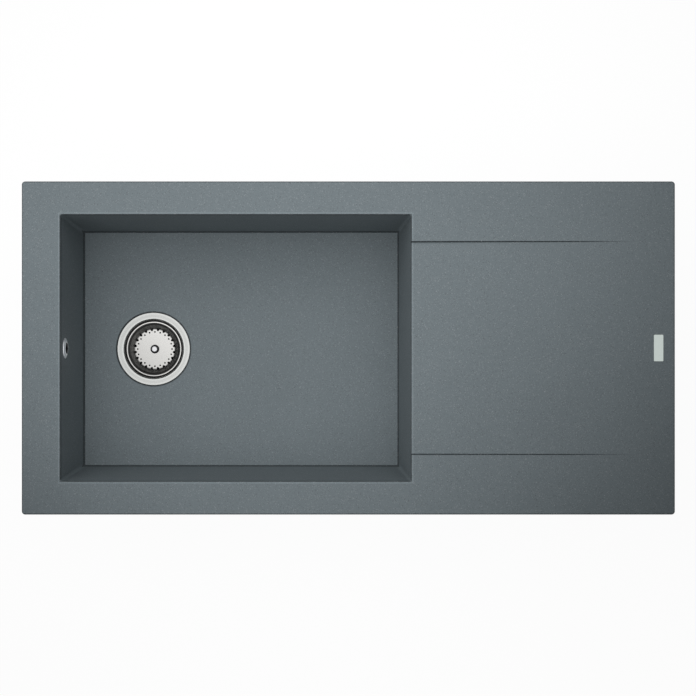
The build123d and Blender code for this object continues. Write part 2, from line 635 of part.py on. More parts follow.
def waste_body():
    """Plastic body: clamping ring, funnel, hub on spokes, overflow branch and outlet thread."""
    outside = funnel(BODY_BORE_RADIUS + BODY_WALL, OUTLET_THREAD_DIAMETER / 2, BODY_TOP_Z)
    outside += rod(BODY_RING_DIAMETER, BODY_TOP_Z - BODY_RING_HEIGHT, BODY_TOP_Z)
    along_branch = Plane(origin=(-BRANCH_REACH, 0, -BRANCH_DROP), x_dir=(0, 1, 0), z_dir=(1, 0, 0))
    branch_length = BRANCH_REACH - OUTLET_BORE_RADIUS
    outside += along_branch * rod(HOSE_PIPE_DIAMETER, 0, branch_length)
    inside = funnel(BODY_BORE_RADIUS, OUTLET_BORE_RADIUS, BODY_TOP_Z)
    body = outside - inside
    body -= along_branch * rod(HOSE_PIPE_BORE, -1, branch_length)
    hub_foot = HUB_TOP_Z - HUB_HEIGHT
    spoke = Pos(BODY_BORE_RADIUS / 2, 0, HUB_TOP_Z - HUB_HEIGHT / 2) * Box(
        BODY_BORE_RADIUS, HUB_SPOKE_WIDTH, HUB_HEIGHT - 4
    )
    web = rod(HUB_DIAMETER, hub_foot, HUB_TOP_Z)
    for arm in round_about(spoke, HUB_SPOKE_COUNT, 60):
        web += arm
    body += web & inside
    bore = rod(INSERT_DIAMETER, HUB_TOP_Z - INSERT_HEIGHT, HUB_TOP_Z + 1)
    screw_end = rod(SCREW_DIAMETER + 0.5, hub_foot + 1, HUB_TOP_Z)
    return DRAIN * (body - bore - screw_end)


def body_insert():
    """Brass insert in the hub that the centre screw turns in."""
    thread = SCREW_DIAMETER + 2 * THREAD_GAP
    return DRAIN * ring(INSERT_DIAMETER - 0.02, thread, HUB_TOP_Z - INSERT_HEIGHT, HUB_TOP_Z)


def centre_screw():
    """Slotted screw that pulls the cup and the waste body together."""
    head_top = -CUP_DEPTH + SCREW_HEAD_HEIGHT
    head = rod(SCREW_HEAD_DIAMETER, -CUP_DEPTH, head_top)
    head = fillet(head.faces().sort_by(Axis.Z)[-1].edges(), 0.8)
    slot = Pos(0, 0, head_top) * Box(SCREW_HEAD_DIAMETER + 1, SCREW_SLOT_WIDTH, 2 * SCREW_SLOT_DEPTH)
    shank = rod(SCREW_DIAMETER, HUB_TOP_Z - INSERT_HEIGHT, -CUP_DEPTH)
    return DRAIN * (head + shank - slot)


# ---- overflow, about the rosette's axis: 0 on the bowl wall, plus into the bowl ----------------
def overflow_rosette():
    """Chromed ring on the bowl wall with a hollow neck that screws into the elbow."""
    rim = ROSETTE_DIAMETER / 2
    bore = ROSETTE_BORE / 2
    face = ROSETTE_FACE_DIAMETER / 2
    neck = ROSETTE_NECK_DIAMETER / 2
    outline = [
        (bore, -ROSETTE_NECK_REACH),
        (neck, -ROSETTE_NECK_REACH),
        (neck, 0),
        (rim, 0),
        (rim, 1.0),
        (face, ROSETTE_PROUD),
        (bore, ROSETTE_PROUD),
    ]
    edge = FilletPolyline(*outline, radius=[0, 0, 0, 0, 0.8, 2.5, 0.8], close=True)
    return OVERFLOW * revolve(Plane.XZ * make_face(edge), Axis.Z)


def overflow_seal():
    """Seal between the elbow and the outside of the bowl wall."""
    hole = ROSETTE_NECK_DIAMETER + 2 * OVERFLOW_HOLE_GAP
    return OVERFLOW * ring(OVERFLOW_SEAL_DIAMETER, hole, ELBOW_FACE, -WALL_ALONG_OVERFLOW)


def overflow_elbow():
    """Hollow elbow behind the bowl wall, with a threaded pipe pointing down to the hose."""
    back = ELBOW_FACE - ELBOW_DEPTH
    drum = OVERFLOW * rod(ELBOW_DIAMETER, back, ELBOW_FACE)
    drum = fillet(drum.faces().sort_by(Axis.X)[0].edges(), 3)
    pipe_top = OVERFLOW_Z
    pipe = Pos(HOSE_X, 0, 0) * rod(HOSE_PIPE_DIAMETER, HOSE_TOP_PIPE_Z, pipe_top)
    elbow = drum + pipe
    socket = ROSETTE_NECK_DIAMETER + 2 * THREAD_GAP
    elbow -= OVERFLOW * rod(socket, ELBOW_FACE - ELBOW_SOCKET_DEPTH, ELBOW_FACE + 1)
    chamber = ELBOW_DIAMETER - 2 * ELBOW_WALL
    elbow -= OVERFLOW * rod(chamber, back + ELBOW_WALL, ELBOW_FACE - ELBOW_SOCKET_DEPTH)
    elbow -= Pos(HOSE_X, 0, 0) * rod(HOSE_PIPE_BORE, HOSE_TOP_PIPE_Z - 1, pipe_top)
    return elbow


# ---- ribbed hose -----------------------------------------------------------------------------
def hose_ring(path, length, distance, diameter):
    """Circle square to the hose's path at a distance along it, on a steady X axis."""
    share = distance / length
    plane = Plane(origin=path @ share, x_dir=(0, 1, 0), z_dir=path % share)
    return plane * Circle(diameter / 2)


def overflow_hose():
    """Ribbed hose: straight down the wall, one wide bend, straight into the branch."""
    path = FilletPolyline(HOSE_TOP, HOSE_CORNER, HOSE_FOOT, radius=HOSE_BEND_RADIUS).wire()
    length = path.length
    ribs = int((length - 2 * HOSE_CUFF_LENGTH - HOSE_RIB_PITCH) / HOSE_RIB_PITCH)
    first = (length - ribs * HOSE_RIB_PITCH) / 2
    root, crest = HOSE_ROOT_DIAMETER, HOSE_CREST_DIAMETER
    rings = [hose_ring(path, length, 0, root)]
    for i in range(ribs):
        start = first + i * HOSE_RIB_PITCH
        rings.append(hose_ring(path, length, start, root))
        rings.append(hose_ring(path, length, start + HOSE_RIB_FLANK, crest))
        rings.append(hose_ring(path, length, start + HOSE_RIB_FLANK + HOSE_RIB_CREST, crest))
        rings.append(hose_ring(path, length, start + 2 * HOSE_RIB_FLANK + HOSE_RIB_CREST, root))
    rings.append(hose_ring(path, length, length, root))
    hose = loft(rings, ruled=True)
    for distance in (0, length - HOSE_CUFF_LENGTH):
        cuff = hose_ring(path, length, distance, HOSE_CUFF_DIAMETER)
        hose += extrude(cuff, HOSE_CUFF_LENGTH)
    bore = sweep(hose_ring(path, length, 0, HOSE_BORE_DIAMETER), path=path)
    section = math.pi * HOSE_BORE_DIAMETER**2 / 4
    print(f"hose: length {length:.1f}, bend radius {HOSE_BEND_RADIUS}, ribs {ribs},")
    print(f"  bore volume {bore.volume:.0f}, section x length {section * length:.0f}")
    return hose - bore


def washer():
    """Flat washer between a pipe end and the hose, along +Z from the pipe's end face."""
    return ring(HOSE_WASHER_DIAMETER, HOSE_BORE_DIAMETER + 1, 0, HOSE_WASHER_THICKNESS)


def union_nut():
    """Union nut along +Z: screwed back over the pipe end at 0, its lip behind the hose's cuff."""
    lip_start = HOSE_WASHER_THICKNESS + HOSE_CUFF_LENGTH + 0.2
    high = lip_start + NUT_LIP
    nut = rod(NUT_DIAMETER, high - NUT_LENGTH, high)
    nut = chamfer(nut.faces().sort_by(Axis.Z)[-1].edges(), 1.2)
    nut -= rod(HOSE_PIPE_DIAMETER + 2 * THREAD_GAP, high - NUT_LENGTH - 1, lip_start)
    nut -= rod(HOSE_CREST_DIAMETER + 0.6, lip_start - 1, high + 1)
    grip = Pos(NUT_DIAMETER / 2 + 0.3, 0, 0) * rod(NUT_GRIP_DIAMETER, high - NUT_LENGTH - 1, high + 1)
    return nut - round_about(grip, NUT_GRIP_COUNT)


UPPER_JOINT = Plane(origin=(HOSE_X, 0, HOSE_TOP_PIPE_Z), x_dir=(0, 1, 0), z_dir=(0, 0, -1))
LOWER_JOINT = Plane(origin=(BRANCH_END_X, 0, BRANCH_Z), x_dir=(0, 1, 0), z_dir=(-1, 0, 0))


# ---- worktop clips ---------------------------------------------------------------------------
def clip_anchor():
    """Plastic dowel in a boss, about the screw's axis."""
    collar_low = -BOSS_DROP - ANCHOR_COLLAR_HEIGHT
    anchor = rod(ANCHOR_DIAMETER, -BOSS_DROP, ANCHOR_TOP_Z)
    anchor += rod(ANCHOR_COLLAR_DIAMETER, collar_low, -BOSS_DROP)
    bore = CLIP_SCREW_DIAMETER + 2 * RUNNING_GAP
    return anchor - rod(bore, collar_low - 1, ANCHOR_TOP_Z - 1)


def clip_anchors():
    """The set of dowels, one in each boss."""
    return Compound(children=[Pos(x, y, 0) * clip_anchor() for x, y, _ in CLIPS])


def clip_screw():
    """Clip screw about its own axis: pointed shank up into the anchor, hexagon head below."""
    r = CLIP_SCREW_DIAMETER / 2
    shank = turned(
        (0, CLIP_SCREW_HEAD_Z),
        (r, CLIP_SCREW_HEAD_Z),
        (r, CLIP_SCREW_TIP_Z - 2),
        (r - 1.5, CLIP_SCREW_TIP_Z),
        (0, CLIP_SCREW_TIP_Z),
    )
    flange = rod(CLIP_SCREW_HEAD_DIAMETER, CLIP_SCREW_HEAD_Z - 1, CLIP_SCREW_HEAD_Z)
    hexagon = RegularPolygon(CLIP_HEX_ACROSS / 2, 6, major_radius=False)
    head_foot = CLIP_SCREW_HEAD_Z - CLIP_SCREW_HEAD_HEIGHT
    head = extrude(Plane((0, 0, head_foot)) * hexagon, CLIP_SCREW_HEAD_HEIGHT)
    slot = Pos(0, 0, head_foot) * Box(CLIP_HEX_ACROSS + 2, 1.4, 2.4)
    return shank + flange + head - slot


def clip_jaw():
    """Bent sheet jaw about the screw's axis, its gripping pad along +X."""
    base = (JAW_REACH - JAW_PAD, JAW_BASE_Z)
    path = FilletPolyline(
        (-JAW_HEEL_REACH, JAW_BASE_Z + JAW_HEEL),
        (-JAW_HEEL_REACH, JAW_BASE_Z),
        base,
        (base[0], JAW_TIP_Z - JAW_SHEET),
        (JAW_REACH, JAW_TIP_Z - JAW_SHEET),
        radius=2.2,
    ).wire()
    strip = path.offset_2d(JAW_SHEET, side=Side.LEFT, kind=Kind.INTERSECTION, closed=True)
    jaw = extrude(Plane.XZ * make_face(strip.edges()), JAW_WIDTH / 2, both=True)
    tip = [
        edge
        for edge in jaw.edges().filter_by(Axis.Z)
        if abs(edge.length - JAW_SHEET) < 0.1 and edge.center().X > JAW_REACH - 0.1
    ]
    jaw = fillet(tip, 3)
    hole = CLIP_SCREW_DIAMETER + 2 * RUNNING_GAP
    return jaw - rod(hole, JAW_BASE_Z - 5, JAW_BASE_Z + 5)


# ---- all the pieces --------------------------------------------------------------------------
def main():
    """Build every piece and write each one to its own file."""
    os.makedirs("parts", exist_ok=True)
    pieces = {
        "sink_body": sink_body(),
        "badge_plate": badge_plate(),
        "rim_seal": rim_groove(SEAL_STRIP_GAP),
        "strainer_cup": strainer_cup(),
        "flange_seal": flange_seal(),
        "strainer_basket": strainer_basket(),
        "basket_bush": basket_bush(),
        "stopper_knob": stopper_knob(),
        "stopper_spindle": stopper_spindle(),
        "stopper_plate": stopper_plate(),
        "stopper_seal": stopper_seal(),
        "waste_body": waste_body(),
        "body_seal": body_seal(),
        "body_insert": body_insert(),
        "centre_screw": centre_screw(),
        "overflow_rosette": overflow_rosette(),
        "overflow_seal": overflow_seal(),
        "overflow_elbow": overflow_elbow(),
        "overflow_hose": overflow_hose(),
        "hose_nut_upper": UPPER_JOINT * union_nut(),
        "hose_nut_lower": LOWER_JOINT * union_nut(),
        "hose_seal_upper": UPPER_JOINT * washer(),
        "hose_seal_lower": LOWER_JOINT * washer(),
        "clip_anchors": clip_anchors(),
    }
    for number, (x, y, parked) in enumerate(CLIPS, start=1):
        pieces[f"clip_screw_{number}"] = Pos(x, y, 0) * clip_screw()
        pieces[f"clip_jaw_{number}"] = Pos(x, y, 0) * Rot(0, 0, parked) * clip_jaw()
    for name, piece in pieces.items():
        export_step(piece, f"parts/{name}.step")


main()
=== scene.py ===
"""Looks of a kitchen sink with drainboard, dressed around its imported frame.

Every sub-assembly is a class that takes its place from the frame, models its own pieces with
Blender's operators and gives them their finishes. Lengths are in metres and angles in
degrees, but profiles and bands are tables in millimetres.
"""

import functools
import json
import logging
import math
from dataclasses import dataclass, replace
from enum import Enum
from typing import Callable, Sequence

import bmesh
import bpy
from mathutils import Matrix, Vector

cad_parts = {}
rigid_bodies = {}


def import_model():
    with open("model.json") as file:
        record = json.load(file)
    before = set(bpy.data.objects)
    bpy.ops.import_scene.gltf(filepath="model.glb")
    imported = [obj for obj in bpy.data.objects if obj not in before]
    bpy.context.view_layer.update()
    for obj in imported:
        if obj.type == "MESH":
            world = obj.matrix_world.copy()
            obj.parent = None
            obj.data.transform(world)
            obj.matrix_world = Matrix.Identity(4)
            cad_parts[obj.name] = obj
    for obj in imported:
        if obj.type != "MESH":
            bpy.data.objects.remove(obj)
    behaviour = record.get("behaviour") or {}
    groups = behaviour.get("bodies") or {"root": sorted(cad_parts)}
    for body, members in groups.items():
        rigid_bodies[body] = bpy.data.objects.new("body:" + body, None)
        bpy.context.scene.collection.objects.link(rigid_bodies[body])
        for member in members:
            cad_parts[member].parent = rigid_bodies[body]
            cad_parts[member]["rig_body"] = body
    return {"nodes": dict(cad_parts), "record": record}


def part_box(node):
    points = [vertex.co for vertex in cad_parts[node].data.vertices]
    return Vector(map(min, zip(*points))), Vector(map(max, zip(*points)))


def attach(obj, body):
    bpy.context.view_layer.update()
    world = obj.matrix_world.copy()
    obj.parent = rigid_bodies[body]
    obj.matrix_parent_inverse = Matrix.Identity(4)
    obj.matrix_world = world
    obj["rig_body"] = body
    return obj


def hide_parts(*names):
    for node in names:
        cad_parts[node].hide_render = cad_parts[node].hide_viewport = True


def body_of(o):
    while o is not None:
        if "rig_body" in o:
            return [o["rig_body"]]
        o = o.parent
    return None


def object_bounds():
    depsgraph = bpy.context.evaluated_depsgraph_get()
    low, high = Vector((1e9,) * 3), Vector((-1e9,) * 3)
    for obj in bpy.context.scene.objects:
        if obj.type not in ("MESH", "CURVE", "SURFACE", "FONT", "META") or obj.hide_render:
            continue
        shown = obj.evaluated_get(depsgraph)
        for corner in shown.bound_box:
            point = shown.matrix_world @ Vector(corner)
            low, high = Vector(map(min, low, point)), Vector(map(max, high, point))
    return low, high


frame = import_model()
CAD_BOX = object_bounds()

MM = 0.001
CASTING_UNDER_DRAIN = 9.0 * MM
WHITE_LIGHT = (1, 1, 1, 1)
# Points nearer than this are merged; a looser one finds the points at a known place.
SAME_POINT = 0.0005 * MM
TOUCH = 0.01 * MM
# A face whose normal rises above this lies level.
LEVEL = 0.99
UP = Vector((0, 0, 1))
log = logging.getLogger("sink")

Colour = tuple[float, float, float]
Place = tuple[float, float, float]
Corner = tuple[float, float, float]
Profile = Sequence[Corner]
Outline = list[tuple[float, float]]
Item = bmesh.types.BMEdge | bmesh.types.BMFace


# ---- shader toolkit ---------------------------------------------------------------------------
def _maths(operation: str, swapped: bool = False) -> Callable[..., "Signal"]:
    """Method that adds a Math node of a signal and other values.

    Args:
        operation: The node's operation.
        swapped: Whether the other value comes first, as in 1 - mask.

    Returns:
        The method.
    """

    def result(signal: "Signal", *others: "float | Signal") -> "Signal":
        """The node's result."""
        terms = (*others, signal) if swapped else (signal, *others)
        return signal.shader.node("ShaderNodeMath", {"operation": operation}, dict(enumerate(terms)))

    return result


class Signal:
    """A value that varies over a surface: the output socket of a node, with arithmetic.

    Comparisons give 1 where they hold and 0 elsewhere.
    """

    __add__ = _maths("ADD")
    __radd__ = _maths("ADD", swapped=True)
    __sub__ = _maths("SUBTRACT")
    __rsub__ = _maths("SUBTRACT", swapped=True)
    __mul__ = _maths("MULTIPLY")
    __rmul__ = _maths("MULTIPLY", swapped=True)
    __truediv__ = _maths("DIVIDE")
    __gt__ = _maths("GREATER_THAN")
    __lt__ = _maths("LESS_THAN")
    __abs__ = _maths("ABSOLUTE")
    larger = _maths("MAXIMUM")

    def __init__(self, shader: "Shader", socket: bpy.types.NodeSocket) -> None:
        """Wrap one output socket of a shader's node."""
        self.shader = shader
        self.socket = socket

    def ramp(self, low: float, high: float) -> "Signal":
        """Smooth step from 0 at the low value to 1 at the high one."""
        inputs = {"Value": self, "From Min": low, "From Max": high}
        return self.shader.node("ShaderNodeMapRange", {"interpolation_type": "SMOOTHSTEP"}, inputs)


class Shader:
    """One node tree, built node by node."""

    def __init__(self, owner: bpy.types.Material | bpy.types.World) -> None:
        """Empty the owner's node tree and hold it.

        Args:
            owner: The material or world that the tree belongs to.
        """
        owner.use_nodes = True
        self.owner = owner
        self.tree = owner.node_tree
        self.tree.nodes.clear()

    @classmethod
    def material(cls, name: str) -> "Shader":
        """A new material's shader."""
        return cls(bpy.data.materials.new(name))

    def node(
        self,
        kind: str,
        settings: dict | None = None,
        inputs: dict | None = None,
        output: int | str = 0,
    ) -> Signal:
        """Add a node of any kind.

        Args:
            kind: The node's type.
            settings: Its properties, set first. A colour ramp's are its "stops".
            inputs: Values or signals of its input sockets, by name or number.
            output: The output socket to give back.

        Returns:
            The chosen output.
        """
        made = self.tree.nodes.new(kind)
        for key, value in (settings or {}).items():
            if key == "stops":
                self._set_stops(made.color_ramp, value)
            else:
                setattr(made, key, value)
        for key, value in (inputs or {}).items():
            if isinstance(value, Signal):
                self.tree.links.new(value.socket, made.inputs[key])
            else:
                made.inputs[key].default_value = value
        return Signal(self, made.outputs[output]) if made.outputs else Signal(self, None)

    @staticmethod
    def _set_stops(ramp: bpy.types.ColorRamp, stops: Sequence[tuple[float, Colour]]) -> None:
        """Give a colour ramp its stops, each a position and a colour."""
        while len(ramp.elements) < len(stops):
            ramp.elements.new(0.5)
        for element, (position, colour) in zip(ramp.elements, stops):
            element.position = position
            element.color = (*colour, 1.0)

    def points(self, centre: Vector | None = None, turn: Vector | None = None) -> Signal:
        """Object coordinates, centred on a point and turned about it.

        Args:
            centre: The pattern's middle.
            turn: The pattern's rotation, as Euler angles in radians.

        Returns:
            The coordinates.
        """
        place = self.node("ShaderNodeTexCoord", output="Object")
        settings = {"vector_type": "TEXTURE"}
        inputs = {
            "Vector": place,
            "Location": centre or Vector((0, 0, 0)),
            "Rotation": turn or Vector((0, 0, 0)),
        }
        return self.node("ShaderNodeMapping", settings, inputs)

    def axes(self, points: Signal) -> tuple[Signal, Signal, Signal]:
        """The x, y and z of a vector."""
        split = self.node("ShaderNodeSeparateXYZ", inputs={0: points}).socket.node
        return tuple(Signal(self, output) for output in split.outputs)

    def vector(self, x: Signal | float, y: Signal | float, z: Signal | float) -> Signal:
        """A vector of three values."""
        return self.node("ShaderNodeCombineXYZ", inputs={0: x, 1: y, 2: z})

    def noise(self, points: Signal, feature: float, detail: float = 2.0) -> Signal:
        """Soft noise between 0 and 1, with features of about the given size."""
        inputs = {"Vector": points, "Scale": 1.0 / feature, "Detail": detail}
        return self.node("ShaderNodeTexNoise", inputs=inputs)

    def blend(
        self, share: Signal | float, first: Signal | Colour, second: Signal | Colour, mode: str = "MIX"
    ) -> Signal:
        """Mix two colours.

        Args:
            share: How much of the second shows.
            first: A colour or a colour signal.
            second: A colour or a colour signal.
            mode: The Mix node's blend type.

        Returns:
            The mixed colour.
        """
        full = [c if isinstance(c, Signal) else (*c, 1.0) for c in (first, second)]
        settings = {"data_type": "RGBA", "blend_type": mode}
        return self.node("ShaderNodeMix", settings, {0: share, 6: full[0], 7: full[1]}, 2)

    def tone(self, colour: Signal | Colour, level: Signal) -> Signal:
        """Multiply a colour by a level."""
        grey = self.node("ShaderNodeCombineColor", inputs={0: level, 1: level, 2: level})
        return self.blend(1.0, colour, grey, "MULTIPLY")

    def bump(self, height: Signal, distance: float, strength: float = 1.0) -> Signal:
        """Normal of a surface raised by a height signal times a distance."""
        inputs = {"Height": height, "Distance": distance, "Strength": strength}
        return self.node("ShaderNodeBump", inputs=inputs)

    def surface(self, sockets: dict) -> bpy.types.Material:
        """Close the material with a Principled surface.

        Args:
            sockets: Values or signals of the surface's sockets, by name.

        Returns:
            The finished material.
        """
        shade = self.node("ShaderNodeBsdfPrincipled", inputs=sockets)
        self.node("ShaderNodeOutputMaterial", inputs={"Surface": shade})
        return self.owner


# ---- finishes ---------------------------------------------------------------------------------
class Slot(Enum):
    """Material slots of the record."""

    GRANITE = "granite_composite"
    BADGE = "badge_steel"
    STAINLESS = "stainless"
    CHROME = "chrome"
    RUBBER = "black_rubber"
    FOAM = "foam_seal"
    BLACK_PLASTIC = "black_plastic"
    WHITE_PLASTIC = "white_plastic"
    HOSE_PLASTIC = "hose_plastic"
    BRASS = "brass"
    ZINC = "zinc_steel"

    @property
    def colour(self) -> Colour:
        """The base colour that the record gives the slot."""
        entries = {entry["slot"]: entry["base_color"] for entry in frame["record"]["materials"]}
        return tuple(entries[self.value][:3])

    @classmethod
    def of(cls, node: str) -> "Slot":
        """The slot of a CAD node."""
        rows = {row["node"]: row["material_slot"] for row in frame["record"]["subparts"]}
        return cls(rows[node])


class Brushing(Enum):
    """How a metal surface was worked."""

    TURNED = "rings about a centre"
    LONG = "fine lines along Y"
    TUMBLED = "no direction"


Bands = tuple[tuple[float, float], ...]


def painted_light_along(shader: Shader, place: Signal, painted_light_bands: Bands) -> Signal:
    """Painted light and shade along a signal: a tone running evenly between the painted_light_bands.

    Args:
        shader: The tree the nodes go into.
        place: The signal, which starts at 0.
        painted_light_bands: Place, in millimetres, and tone of each band.

    Returns:
        The tone, of at most 2.
    """
    reach = painted_light_bands[-1][0]
    stops = [(start / reach, (tone / 2,) * 3) for start, tone in painted_light_bands]
    ramp = shader.node("ShaderNodeValToRGB", {"stops": stops}, {0: place / (reach * MM)})
    return 2 * shader.node("ShaderNodeSeparateColor", inputs={0: ramp})


def painted_light_rings(shader: Shader, points: Signal, painted_light_bands: Bands, level: bool = False) -> Signal:
    """Painted light and shade of a turned part by distance from its axis, running evenly between the
    painted_light_bands.

    Args:
        shader: The tree the nodes go into.
        points: Places measured from the axis.
        painted_light_bands: Radius, in millimetres, and tone of each band, from the axis outwards.
        level: Whether the axis lies along X instead of standing up.

    Returns:
        The tone, of at most 2.
    """
    x, y, z = shader.axes(points)
    across = shader.vector(z, y, 0.0) if level else shader.vector(x, y, 0.0)
    radius = shader.node("ShaderNodeVectorMath", {"operation": "LENGTH"}, {0: across}, "Value")
    return painted_light_along(shader, radius, painted_light_bands)


@dataclass(frozen=True)
class GraniteComposite:
    """Stone-filled composite: matt, finely speckled, with painted shade and highlights along its lines
    and creases.

    The opening is the middle, half length and half width of the bowl's outline at deck level. The
    bowl's painted shade and highlight start the inward distance inside that outline and run outwards.
    """

    base: Colour = (0.180, 0.212, 0.227)
    grain: float = 0.75 * MM
    stipple: float = 1.6 * MM
    cloud: float = 90 * MM
    plain_tone: float = 0.90
    grain_tone: float = 0.12
    cloud_tone: float = 0.08
    light_chip: Colour = (0.42, 0.44, 0.45)
    light_strength: float = 0.45
    dark_chip: Colour = (0.075, 0.083, 0.088)
    dark_strength: float = 0.55
    chip_share: float = 0.045
    roughness: float = 0.50
    rough_grain: float = 0.14
    specular: float = 0.05
    relief: float = 0.05 * MM
    bump: float = 0.5
    drain: Place = (0, 0, 0)
    # Painted shade in the gap round the strainer's flange and under it, by distance from the drain's
    # axis.
    drain_gap_shade: Bands = ((0, 0.3), (58.2, 0.3), (59.2, 0.45), (60.0, 1.0))
    # Painted shade along the drainer's two steps.
    step_line: float = 159.7 * MM
    step_width: tuple[float, float] = (0.5 * MM, 1.2 * MM)
    step_span: tuple[float, float, float, float] = (90 * MM, 96 * MM, 320 * MM, 437 * MM)
    step_painted_shade: float = 0.72
    # Painted shade along the rounded outer edge of the deck.
    rim_width: tuple[float, float] = (-2.0 * MM, -1.2 * MM)
    outer_edge_painted_shade: float = 0.45
    deck_foot: tuple[float, float] = (3 * MM, 4 * MM)
    floor_foot: float = -192.5 * MM
    opening: tuple[float, float, float] = (-168.9 * MM, 263.5 * MM, 200.25 * MM)
    draft: float = 0.081
    skin: float = 3 * MM
    inward: float = 20 * MM
    # Painted shade in the floor's crease, on the walls and on the rim's lower rounding, and a painted
    # highlight on the bowl's rim, by distance from the opening's outline.
    bowl_shade_and_highlight: Bands = (
        (0, 1.0), (2.4, 1.0), (3.1, 0.36), (4.6, 0.36), (5.3, 0.87),
        (18.6, 0.87), (19.4, 0.6), (20.8, 0.6), (21.2, 1.25),
        (22.6, 1.25), (23.4, 1.0),
    )

    def material(self, slot: Slot) -> bpy.types.Material:
        """Build the material of a slot.

        Args:
            slot: The slot.

        Returns:
            The material.
        """
        shader = Shader.material(slot.value)
        points = shader.points()
        cells = shader.node(
            "ShaderNodeTexVoronoi", inputs={"Vector": points, "Scale": 1 / self.grain}, output="Color"
        )
        pick = shader.node("ShaderNodeSeparateColor", inputs={0: cells})
        fine = shader.noise(points, self.grain, 3.0)
        stipple = shader.noise(points, self.stipple, 2.0)
        cloud = shader.noise(points, self.cloud, 2.0)
        # The tone takes painted shade round the drain, along the steps, the deck's edge and in the
        # bowl, and a painted highlight on the bowl's rim.
        drain_gap_shade = painted_light_rings(shader, shader.points(Vector(self.drain)), self.drain_gap_shade)
        tone = self.plain_tone + self.grain_tone * fine + self.cloud_tone * cloud
        tone = tone * drain_gap_shade * self._painted_light_lines(shader, points)
        colour = shader.tone(self.base, tone)
        light, dark = pick > 1 - self.chip_share, pick < self.chip_share
        colour = shader.blend(light * self.light_strength, colour, self.light_chip)
        colour = shader.blend(dark * self.dark_strength, colour, self.dark_chip)
        return shader.surface(
            {
                "Base Color": colour,
                "Roughness": self.roughness + self.rough_grain * (fine - 0.5),
                "Specular IOR Level": self.specular,
                "Normal": shader.bump(stipple + 0.5 * fine, self.relief, self.bump),
            }
        )

    def _painted_light_lines(self, shader: Shader, points: Signal) -> Signal:
        """Painted shade along the drainer's steps and the deck's outer edge, and the bowl's painted
        shade and highlight.

        Args:
            shader: The tree the nodes go into.
            points: Object coordinates.

        Returns:
            The tone.
        """
        x, y, z = shader.axes(points)
        wide, deep = abs(x), abs(y)
        # Masks of the painted shade along the steps and the deck's outer edge.
        near = 1 - abs(deep - self.step_line).ramp(*self.step_width)
        start, full, fade, end = self.step_span
        along = x.ramp(start, full) * (1 - x.ramp(fade, end))
        edge = (wide - CAD_BOX[1].x).larger(deep - CAD_BOX[1].y).ramp(*self.rim_width)
        lines = (near * along * self.step_painted_shade).larger(edge * self.outer_edge_painted_shade)
        return (1 - lines * z.ramp(*self.deck_foot)) * self._painted_bowl_light(shader, x, deep, z)

    def _painted_bowl_light(self, shader: Shader, x: Signal, deep: Signal, z: Signal) -> Signal:
        """Painted light of the bowl by how far a place lies outside the opening's outline.

        Args:
            shader: The tree the nodes go into.
            x: Place along the sink.
            deep: Distance from the sink's middle line.
            z: Height.

        Returns:
            The tone: painted shade in the floor's crease, a little on the walls and on the rim's lower
                rounding, and a painted highlight on the rim.
        """
        middle, half_length, half_width = self.opening
        over = (abs(x - middle) - half_length).larger(deep - half_width)
        behind_wall = over + (CAD_BOX[1].z - z) * self.draft
        inner = (behind_wall < self.skin).larger(z > self.deck_foot[0]) * (z > self.floor_foot)
        tone = painted_light_along(shader, over + self.inward, self.bowl_shade_and_highlight)
        return 1 + inner * (tone - 1)


@dataclass(frozen=True)
class Metal:
    """Bare, plated or polished metal with the marks of how it was worked.

    The painted_light_bands are the metal's tone by distance from the centre: painted highlights where
    the rolled edges catch the light, painted shade in the throat. The painted_light_slant is a painted
    gradient of light: the tone's change along X and Y, per metre.
    """

    roughness: float
    brushing: Brushing = Brushing.TUMBLED
    centre: Place = (0, 0, 0)
    tint: Colour = (1, 1, 1)
    pitch: float = 0.25 * MM
    marks: float = 0.10
    wear: float = 9 * MM
    rough_wear: float = 0.08
    rough_dark: float = 0.3
    relief: float = 0.004 * MM
    bump: float = 0.6
    shade: float = 0.12
    mark_share: float = 0.8
    wear_share: float = 0.4
    ring_stretch: float = 0.01
    line_stretch: float = 0.02
    painted_light_bands: Bands = ()
    painted_light_slant: tuple[float, float] = (0, 0)
    level: bool = False

    def material(self, slot: Slot) -> bpy.types.Material:
        """Build the material of a slot.

        Args:
            slot: The slot, which gives the metal's colour.

        Returns:
            The material.
        """
        shader = Shader.material(slot.value)
        points = shader.points(Vector(self.centre))
        marks = shader.noise(self._stretched(shader, points), self.pitch, 3.0)
        wear = shader.noise(points, self.wear, 3.0)
        uneven = self.mark_share * (marks - 0.5) + self.wear_share * (wear - 0.5)
        level = 1 + self.shade * uneven
        rough = self.roughness + self.marks * (marks - 0.5) + self.rough_wear * (wear - 0.5)
        # Painted highlights and painted shade by distance from the centre, and a painted gradient of
        # light along X and Y.
        if self.painted_light_bands:
            x, y, _ = shader.axes(points)
            tone = painted_light_rings(shader, points, self.painted_light_bands, self.level)
            level = level * tone * (1 + x * self.painted_light_slant[0] + y * self.painted_light_slant[1])
            rough = rough + self.rough_dark * (1 - tone).larger(0.0)
        return shader.surface(
            {
                "Base Color": shader.tone(tuple(a * b for a, b in zip(slot.colour, self.tint)), level),
                "Metallic": 1.0,
                "Roughness": rough,
                "Normal": shader.bump(marks, self.relief, self.bump),
            }
        )

    def _stretched(self, shader: Shader, points: Signal) -> Signal:
        """Coordinates that draw noise out along the working marks.

        Args:
            shader: The tree the nodes go into.
            points: Coordinates about the centre.

        Returns:
            The stretched coordinates.
        """
        x, y, z = shader.axes(points)
        if self.brushing is Brushing.TURNED:
            radius = shader.node("ShaderNodeVectorMath", {"operation": "LENGTH"}, {0: points}, "Value")
            return shader.vector(radius, x * self.ring_stretch, y * self.ring_stretch)
        if self.brushing is Brushing.LONG:
            return shader.vector(x, y * self.line_stretch, z)
        return points


